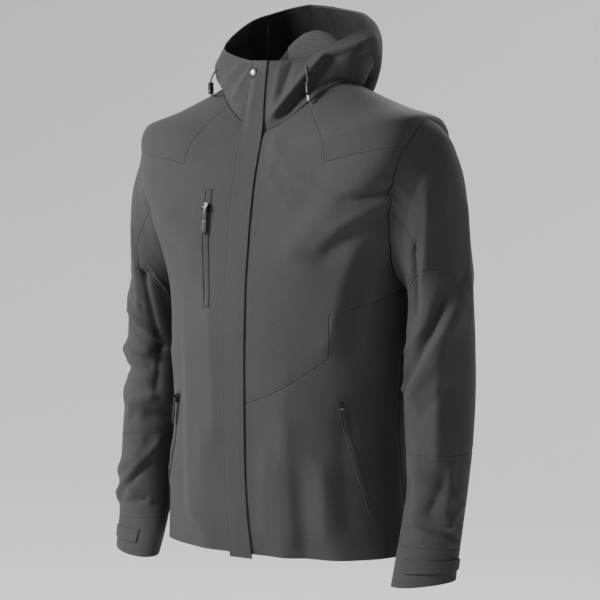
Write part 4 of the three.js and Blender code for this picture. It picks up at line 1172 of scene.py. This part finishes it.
# %% Yokes, hood sides, sleeves and cuffs
HELD_BY = {
    "yoke": "back", "hood": "yoke", "sleeve_cap": "yoke", "sleeve_under": "yoke",
    "sleeve_elbow": "sleeve_cap", "sleeve_forearm": "sleeve_elbow", "cuff": "sleeve_forearm",
}
for side, hand in ((1, "left"), (-1, "right")):
    for shape, holder in HELD_BY.items():
        if holder != "back":
            holder = f"{holder}_{hand}"
        cloth_panel(f"{shape}_{hand}", shape, side, SHELL, [holder])
    cloth_panel(f"cuff_tab_{hand}", "cuff_tab", side, SHELL, [f"cuff_{hand}"],
                lift=LAY_GAP + CLOTH, calm=0.3)
print("panels", len(panels))

# %% Flap, facing and lining
cloth_panel("storm_flap", "storm_flap", 1, SHELL, ["front_right"],
            lift=LAY_GAP + FLAP_CLOTH, thickness=FLAP_CLOTH, calm=0.35)
# the lighter facing on the left crown stands for light falling into the hood: painted light
cloth_panel("crown_facing", "crown_facing", 1, [painted_light_facing, fleece], ["hood_crown"],
            lift=-CLOTH - LAY_GAP, thickness=FACING_CLOTH, calm=0.3)
cloth_panel("neck_lining", "neck_lining", 1, [fleece, mesh_lining], ["hood_crown"],
            lift=-CLOTH - LAY_GAP, thickness=FACING_CLOTH, calm=0.3, slot="lining")
for name, (piece, wide, tall, cut, neighbours) in panels.items():
    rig.sheet(piece, flat=(wide, tall), held="draped", rests_on=neighbours, area=cut)
    print(name, round(wide, 3), round(tall, 3), round(cut, 4))

# %% [markdown]
# ## Pocket zips
# Each pocket closes with a fine coil zip that hides between two narrow folds of the shell.
# The coil is a row of small beads on a dark tape, and the folds are strips laid on the
# panel with a rolled cross section.
# %% Where the zips lie
# panel, turn and level of the top, of the low end, width, side
ZIPS = {
    "chest": ("front_right", -31, -160, -25.5, -331, 1.0, 1),
    "pocket_left": ("front_left_lower", 52.5, -462, 68, -628, 0.75, 1),
    "pocket_right": ("front_right", -52.5, -462, -68, -628, 0.75, -1),
}
ZIP_STEP = 3
OUTSIDE = 0.6
COIL_PITCH = 1.5
# across and height in millimetres: the narrow fold, the tape under the coil, the wide fold
NARROW_FOLD = [(6.2, -0.9), (6.1, 0.7), (5.7, 1.4), (5.1, 1.7), (4.6, 1.5), (4.4, 0.9),
               (4.4, 0.2)]
COIL_TAPE = [(5.0, 0.3), (3.5, 0.5), (2.0, 0.3)]
WIDE_FOLD = [(2.9, 0.2), (2.8, 1.3), (2.4, 1.9), (1.6, 2.1), (0.2, 1.9), (-3.6, 1.5),
             (-5.4, 1.1), (-6.0, 0.6), (-6.2, -0.9)]
COIL_PLACE, COIL_RISE = 3.6, 0.7
COIL_BEAD = (0.95, 0.55, 0.5)
FOLD_WALL = 0.3


def zip_frames(tree, turn_top, top, turn_low, low):
    """Places down a zip: point, direction out of the cloth, and across."""
    count = round((top - low) / ZIP_STEP)
    hits = []
    for index in range(count + 1):
        turn = math.radians(mix(turn_top, turn_low, index / count))
        out = Vector((math.sin(turn), -math.cos(turn), 0))
        origin = out * OUTSIDE + Vector((0, 0, mix(top, low, index / count) * MM))
        hits.append(tree.ray_cast(origin, -out)[:2])
    frames = []
    for index, (point, normal) in enumerate(hits):
        ahead = hits[min(index + 2, count)][0] - hits[max(index - 2, 0)][0]
        down = ahead.normalized()
        out = (normal - down * normal.dot(down)).normalized()
        frames.append((point, out, down.cross(out), down))
    return frames


def strip_mesh(bm, frames, profile, scale, side):
    """A grid laid along the frames with the profile as its cross section."""

    def place_of(column, row):
        aside, height = profile[column]
        point, out, across, _ = frames[row]
        point = point + (across * aside * side + out * height) * scale * MM
        return point, (aside * scale * MM, row * ZIP_STEP * MM)

    _, faces = lay_grid(bm, len(profile) - 1, len(frames) - 1, place_of)
    bm.normal_update()
    middle = frames[len(frames) // 2][1]
    if sum(face.normal.dot(middle) for face in faces) < 0:
        bmesh.ops.reverse_faces(bm, faces=faces)


print("zip helpers ready")


# %% Folds and coils
def add_zip(name):
    panel, turn_top, top, turn_low, low, scale, side = ZIPS[name]
    frames = zip_frames(trees[panel], turn_top, top, turn_low, low)
    bm = bmesh.new()
    strip_mesh(bm, frames, NARROW_FOLD, scale, side)
    strip_mesh(bm, frames, WIDE_FOLD, scale, side)
    bmesh.ops.solidify(bm, geom=bm.faces[:], thickness=FOLD_WALL * MM)
    soften(bm, 60)
    finish_piece(f"{name}_zip_folds", bm, [softshell], "shell_fabric", nodes=[f"{name}_zip"])
    wide, high, long = COIL_BEAD
    bm = bmesh.new()
    strip_mesh(bm, frames, COIL_TAPE, scale, side)
    steps = int((top - low) / COIL_PITCH)
    for index in range(steps):
        place = index / steps * (len(frames) - 1)
        point, out, across, down = frames[int(place)]
        centre = point + down * ((place % 1) * ZIP_STEP * MM)
        centre = centre + (across * COIL_PLACE * scale * side + out * COIL_RISE) * MM
        axes = Matrix((across * wide * scale, out * high, down * long)).transposed().to_4x4()
        turn = Matrix.Translation(centre) @ axes @ Matrix.Scale(MM, 4)
        bmesh.ops.create_icosphere(bm, subdivisions=1, radius=1, matrix=turn)
    soften(bm, 70)
    finish_piece(f"{name}_zip_coil", bm, [plastic], "zip_tape")
    return len(frames)


for name in ZIPS:
    print(name, "zip, places", add_zip(name))
# the shut front zip keeps its CAD shape, and only its edge shows below the flap
front_zip = frame["nodes"]["front_zip"]
front_zip.data.materials.clear()
front_zip.data.materials.append(plastic)

# %% [markdown]
# ## Sliders and pull tabs
# A slider is two plates with cheeks that hold a metal pin, and a long soft tab hangs from
# the pin. The tab has a strap and a thicker grip with ribs for the fingers. It swings, so
# it rides on the body of its joint.
# %% Helpers for plates and blocks
# seat of the slider with its directions across, out and up, then the pull's pin and its
# directions right and up
HARDWARE = {
    "chest": ((-72.01, -126.83, -186.57), (-0.9998, -0.0184, 0.0044), (0.0189, -0.9868, 0.1607),
              (-71.93, -131.27, -185.84), (0.9998, 0.0184, -0.0044), (0.0030, 0.0723, 0.9974)),
    "pocket_left": ((139.23, -104.29, -471.26), (-0.7338, -0.6223, -0.2725),
                    (0.6498, -0.7600, -0.0144), (142.15, -107.71, -471.33),
                    (0.7338, 0.6223, 0.2725), (-0.2078, -0.1762, 0.9622)),
    "pocket_right": ((-139.23, -104.29, -471.26), (-0.7338, 0.6223, 0.2725),
                     (-0.6498, -0.7600, -0.0142), (-142.15, -107.71, -471.32),
                     (0.7338, -0.6223, -0.2725), (0.2078, -0.1763, 0.9621)),
}
# size and centre of each block of a slider: across, out, up
SLIDER_BLOCKS = [
    ((8.2, 1.3, 12.0), (0, -0.5, 0)), ((8.8, 1.3, 12.8), (0, 1.5, 0)),
    ((2.4, 2.0, 4.0), (0, 0.5, 3.4)), ((1.3, 3.6, 8.4), (3.8, 3.6, -0.4)),
    ((1.3, 3.6, 8.4), (-3.8, 3.6, -0.4)),
]
STRAP_SIDE = [(2.4, 1.0), (2.4, -9), (3.1, -12), (3.3, -24)]
GRIP_SIDE = [(3.3, -19), (4.1, -21.5), (4.2, -35.5), (3.5, -38.3), (1.9, -40)]
STRAP_THICK, GRIP_THICK = 1.5, 2.1
RIB_FIRST, RIB_LAST, RIB_PITCH = -23.5, -37, 1.9
RIB_BLOCK, RIB_BEVEL = (6.0, 0.9, 0.7), 0.25
PIN_RADIUS, PIN_LENGTH, PIN_BEVEL = 0.85, 6.2, 0.25
SLIDER_BEVEL = 0.45


def bevel_edges(bm, edges, size):
    bmesh.ops.bevel(bm, geom=list(edges), offset=size, offset_type="OFFSET", segments=2,
                    profile=0.5, affect="EDGES", material=-1)


def add_block(bm, size, centre, bevel):
    place = Matrix.Translation(Vector(centre)) @ Matrix.Diagonal((*size, 1))
    made = bmesh.ops.create_cube(bm, size=1, matrix=place)["verts"]
    bevel_edges(bm, {edge for vert in made for edge in vert.link_edges}, bevel)


def add_plate(bm, right_side, thickness, bevel):
    outline = right_side + [(-x, y) for x, y in reversed(right_side)]
    face = bm.faces.new([bm.verts.new((x, y, -thickness / 2)) for x, y in outline])
    grown = bmesh.ops.extrude_face_region(bm, geom=[face])["geom"]
    verts = [item for item in grown if isinstance(item, bmesh.types.BMVert)]
    bmesh.ops.translate(bm, vec=(0, 0, thickness), verts=verts)
    bevel_edges(bm, {edge for vert in [*face.verts, *verts] for edge in vert.link_edges}, bevel)


def set_in_place(bm, origin, first, second, third):
    axes = Matrix((first, second, third)).transposed().to_4x4()
    place = Matrix.Translation(Vector(origin) * MM) @ axes @ Matrix.Scale(MM, 4)
    bmesh.ops.transform(bm, matrix=place, verts=bm.verts)
    bmesh.ops.recalc_face_normals(bm, faces=bm.faces)
    soften(bm)


print("hardware", sorted(HARDWARE))


# %% Sliders, pins and pulls
def add_slider(name):
    seat, across, out, pin, right, up = (Vector(value) for value in HARDWARE[name])
    bm = bmesh.new()
    for size, centre in SLIDER_BLOCKS:
        add_block(bm, size, centre, SLIDER_BEVEL)
    set_in_place(bm, seat, across, out, across.cross(out))
    finish_piece(f"{name}_slider_body", bm, [gunmetal], "black_plastic",
                 nodes=[f"{name}_slider"])
    body = f"{name}_pull_body"
    bm = bmesh.new()
    bmesh.ops.create_cone(bm, cap_ends=True, segments=20, radius1=PIN_RADIUS,
                          radius2=PIN_RADIUS, depth=PIN_LENGTH)
    rims = [edge for edge in bm.edges if abs(edge.verts[0].co.z - edge.verts[1].co.z) < 0.01]
    bevel_edges(bm, rims, PIN_BEVEL)
    set_in_place(bm, pin, up, right.cross(up), right)
    finish_piece(f"{name}_pull_pin", bm, [metal], "metal", body=body)
    bm = bmesh.new()
    add_plate(bm, STRAP_SIDE, STRAP_THICK, 0.4)
    add_plate(bm, GRIP_SIDE, GRIP_THICK, 0.6)
    for index in range(int((RIB_FIRST - RIB_LAST) / RIB_PITCH) + 1):
        for face in (1, -1):
            add_block(bm, RIB_BLOCK, (0, RIB_FIRST - index * RIB_PITCH, face), RIB_BEVEL)
    set_in_place(bm, pin, right, up, right.cross(up))
    finish_piece(f"{name}_pull_tab", bm, [rubber], "black_plastic", body=body,
                 nodes=[f"{name}_pull"])


for name in HARDWARE:
    add_slider(name)
print("sliders", len(HARDWARE))

# %% [markdown]
# ## Press stud
# A dark ring with a bright domed cap closes the top of the flap on the collar.
# %% Press stud of the collar
STUD_PLACE, STUD_OUT = (-19.88, -80.72, 9.05), (-0.2014, -0.9231, 0.3275)
RING_PROFILE = [
    (4.3, -1.1), (6.9, -1.1), (7.3, -0.5), (7.0, 0.3), (6.2, 0.9), (5.3, 1.1), (4.6, 0.9),
    (4.3, 0.3),
]
CAP_PROFILE = [
    (0, -0.9), (4.2, -0.9), (4.5, 0.2), (4.4, 0.9), (3.9, 1.4), (3.2, 1.3), (2.8, 1.15),
    (1.4, 1.45), (0, 1.55),
]
turned_piece("collar_snap_ring", RING_PROFILE, STUD_PLACE, STUD_OUT, plastic, "black_plastic")
turned_piece("collar_snap_cap", CAP_PROFILE, STUD_PLACE, STUD_OUT, metal, "metal", closed=False,
             nodes=["collar_snap"])
print("press stud at", STUD_PLACE)

# %% [markdown]
# ## Stitching
# Rows of small thread beads run beside the seams, two rows at the hem and one at the
# casing of the hood. A row is given by the seam it follows and its distance from it, and
# each bead is set on the panel below it.
# %% Helpers for stitching
STITCH_PITCH = 3.3
STITCH_SIZE = (0.32, 1.15, 0.3)
STITCH_REACH, STITCH_RISE = 8, 0.1
ROW_STEP, SEAM_NUDGE = 4, 0.15


def seam_row(kind, side, along, value, start, end, away):
    """Points beside a seam: along columns or rows of a patch, some millimetres away."""
    shape, _, _, wide, tall = PATCHES[kind][:5]
    down_columns = along == "columns"
    steps = int(abs(end - start) * (wide if down_columns else tall) / ROW_STEP) + 1
    nudge = math.copysign(SEAM_NUDGE, away)
    points = []
    for step in range(steps + 1):
        t = start + (end - start) * step / steps
        places = [(t, line) if down_columns else (line, t) for line in (value, value + nudge)]
        base, near = (shape(side, *place) for place in places)
        points.append((base + (near - base).normalized() * abs(away)) * MM)
    return points


def sew(bm, points, tree):
    """Beads of thread along the points, each set on the cloth."""
    carry, count = 0.0, 0
    size = [value * MM for value in STITCH_SIZE]
    for start, end in zip(points, points[1:]):
        length = (end - start).length / MM
        while carry < length:
            place = start.lerp(end, carry / length)
            spot, normal, _, far = tree.find_nearest(place)
            if far < STITCH_REACH * MM:
                along = (end - start).normalized()
                along = (along - normal * along.dot(normal)).normalized()
                side = normal.cross(along)
                axes = Matrix((side * size[0], along * size[1], normal * size[2]))
                lifted = Matrix.Translation(spot + normal * STITCH_RISE * MM)
                turn = lifted @ axes.transposed().to_4x4()
                bmesh.ops.create_icosphere(bm, subdivisions=1, radius=1, matrix=turn)
                count += 1
            carry += STITCH_PITCH
        carry -= length
    return count


def add_stitching(name, rows):
    bm = bmesh.new()
    count = 0
    for panel, *row in rows:
        count += sew(bm, seam_row(*row), trees[panel])
    for face in bm.faces:
        face.smooth = True
    finish_piece(name, bm, [thread], "shell_fabric")
    return count


print("stitch", STITCH_SIZE)

# %% Rows of stitching on the body
# panel, patch, side, along what, its line, from, to, distance from the line
FLAP_ROWS = [
    ("storm_flap", "flap", 1, "rows", 0, 0.2, 42, 2.2),
    ("storm_flap", "flap", 1, "rows", 0, 0.2, 42, 7.5),
    ("storm_flap", "flap", 1, "rows", 1, 0.2, 42, -2.2),
    ("storm_flap", "flap", 1, "columns", 0, 0, 1, 4),
    ("front_left_upper", "front", 1, "rows", 1, 8, 27, 8),
    ("front_left_lower", "front", 1, "rows", 1, 0, 8, 8),
    ("front_left_upper", "front", 1, "columns", 8, 0.6, 7, 3),
    ("front_left_upper", "front", 1, "rows", 7, 8, 11, -3),
    ("front_left_upper", "front", 1, "columns", 11, 7, 11, 3),
]
HEM_ROWS = [
    (*seam, away)
    for seam in (("back", "back", 1, "columns", 0, 0, 6),
                 ("back", "back", -1, "columns", 0, 0, 6),
                 ("front_left_lower", "front", 1, "columns", 0, 1, 11),
                 ("front_right", "front", -1, "columns", 0, 1, 11))
    for away in (20, 25)
]
print("flap", add_stitching("stitches_flap", FLAP_ROWS),
      "hem", add_stitching("stitches_hem", HEM_ROWS))

# %% Rows of stitching on the yokes, sleeves and hood
# panel, patch, along what, its line, from, to, distance from the line
ARM_ROWS = [
    ("yoke", "front", "columns", 19, 7, 11, 3), ("yoke", "front", "rows", 7, 19, 27, 3),
    ("yoke", "back", "columns", 19, 0, 6, 3), ("yoke", "front", "rows", 11, 19, 22, -4),
    ("front", "front", "rows", 11, 11, 19, -4), ("back", "back", "rows", 0, 11, 19, 4),
    ("sleeve_elbow", "sleeve", "columns", 6, 0, 22, 3),
    ("sleeve_cap", "sleeve", "columns", 6, 5, 17, -3),
    ("sleeve_forearm", "sleeve", "columns", 13, 0, 22, 3),
    ("cuff", "sleeve", "columns", 17, 0, 22, 3), ("cuff", "sleeve", "columns", 20, 0, 22, -4),
    ("sleeve_cap", "sleeve", "columns", 0, 5, 17, 3),
]
HOOD_STITCHES = [
    ("hood", "collar", "columns", 15, 0.6, 11, -20), ("hood", "nape", "columns", 15, 0, 3, -20),
    ("hood_crown", "nape", "columns", 15, 3, 6, -20), ("hood", "nape", "rows", 3, 0, 15, -3),
    ("hood_crown", "nape", "rows", 3, 0, 15, 3), ("hood", "collar", "columns", 0, 0.6, 11, 3),
]
for side, hand in ((1, "left"), (-1, "right")):
    single = {"front": "front_left_upper" if side > 0 else "front_right", "back": "back",
              "hood_crown": "hood_crown"}
    for part, table in (("arm", ARM_ROWS), ("hood", HOOD_STITCHES)):
        rows = [(single.get(panel, f"{panel}_{hand}"), patch, side, *row)
                for panel, patch, *row in table]
        print(part, hand, add_stitching(f"stitches_{part}_{hand}", rows))

# %% [markdown]
# ## Studio
# A pale floor, a pale backdrop and soft light from the wearer's right front.
# %% Floor, backdrop and lights
FLOOR_LEVEL, FLOOR_SIZE, FLOOR_FLAT, FLOOR_RISE = -1.5, 9, 3, 0.12
FLOOR_SHADE = 0.94
LIGHT_AIM = -0.3


def add_stage():
    bm = bmesh.new()
    bmesh.ops.create_grid(bm, x_segments=80, y_segments=80, size=FLOOR_SIZE)
    for vert in bm.verts:
        rise = max(math.hypot(vert.co.x, vert.co.y) - FLOOR_FLAT, 0)
        vert.co.z = FLOOR_LEVEL + FLOOR_RISE * rise * rise
    for face in bm.faces:
        face.smooth = True
    pale, _ = new_material("studio_floor", (FLOOR_SHADE,) * 3, 0.9)
    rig.stage(mesh_object("floor", bm, [pale]))


def add_area_light(name, azimuth, distance, height, size, power):
    data = bpy.data.lights.new(name, "AREA")
    data.shape = "DISK"
    data.size = size
    data.energy = power
    lamp = bpy.data.objects.new(name, data)
    scene.collection.objects.link(lamp)
    turn = math.radians(azimuth)
    lamp.location = (distance * math.sin(turn), -distance * math.cos(turn), height)
    aim = Vector((0, 0, LIGHT_AIM)) - lamp.location
    lamp.rotation_euler = aim.to_track_quat("-Z", "Y").to_euler()


def add_world(dark, bright, tilt):
    """A pale studio that is brighter on the image's left, as beside a large window."""
    world = bpy.data.worlds.new("studio")
    world.use_nodes = True
    links, background = world.node_tree.links, world.node_tree.nodes["Background"]
    where = add_node(world, "ShaderNodeTexCoord")
    away = add_node(world, "ShaderNodeVectorMath", operation="DOT_PRODUCT")
    links.new(where.outputs["Generated"], away.inputs[0])
    away.inputs[1].default_value = (math.cos(tilt), 0, math.sin(tilt))
    level = add_node(world, "ShaderNodeMapRange", [("Value", away.outputs["Value"])],
                     From_Min=1, From_Max=-1, To_Min=dark, To_Max=bright)
    links.new(level.outputs["Result"], background.inputs["Strength"])
    background.inputs["Color"].default_value = (1, 1, 1, 1)
    scene.world = world


add_stage()
add_world(dark=0.05, bright=1.9, tilt=math.radians(20))
add_area_light("key", azimuth=-38, distance=2.6, height=0.9, size=1.0, power=240)
add_area_light("back", azimuth=190, distance=2.4, height=1.2, size=1.6, power=60)
print("lights", [item.name for item in scene.objects if item.type == "LIGHT"])

# %% Write the sizes and finish
model_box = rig.bounds()
with open("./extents.json", "w") as handle:
    json.dump({"cad": [list(corner) for corner in cad_box],
               "visual": [list(corner) for corner in model_box]}, handle)
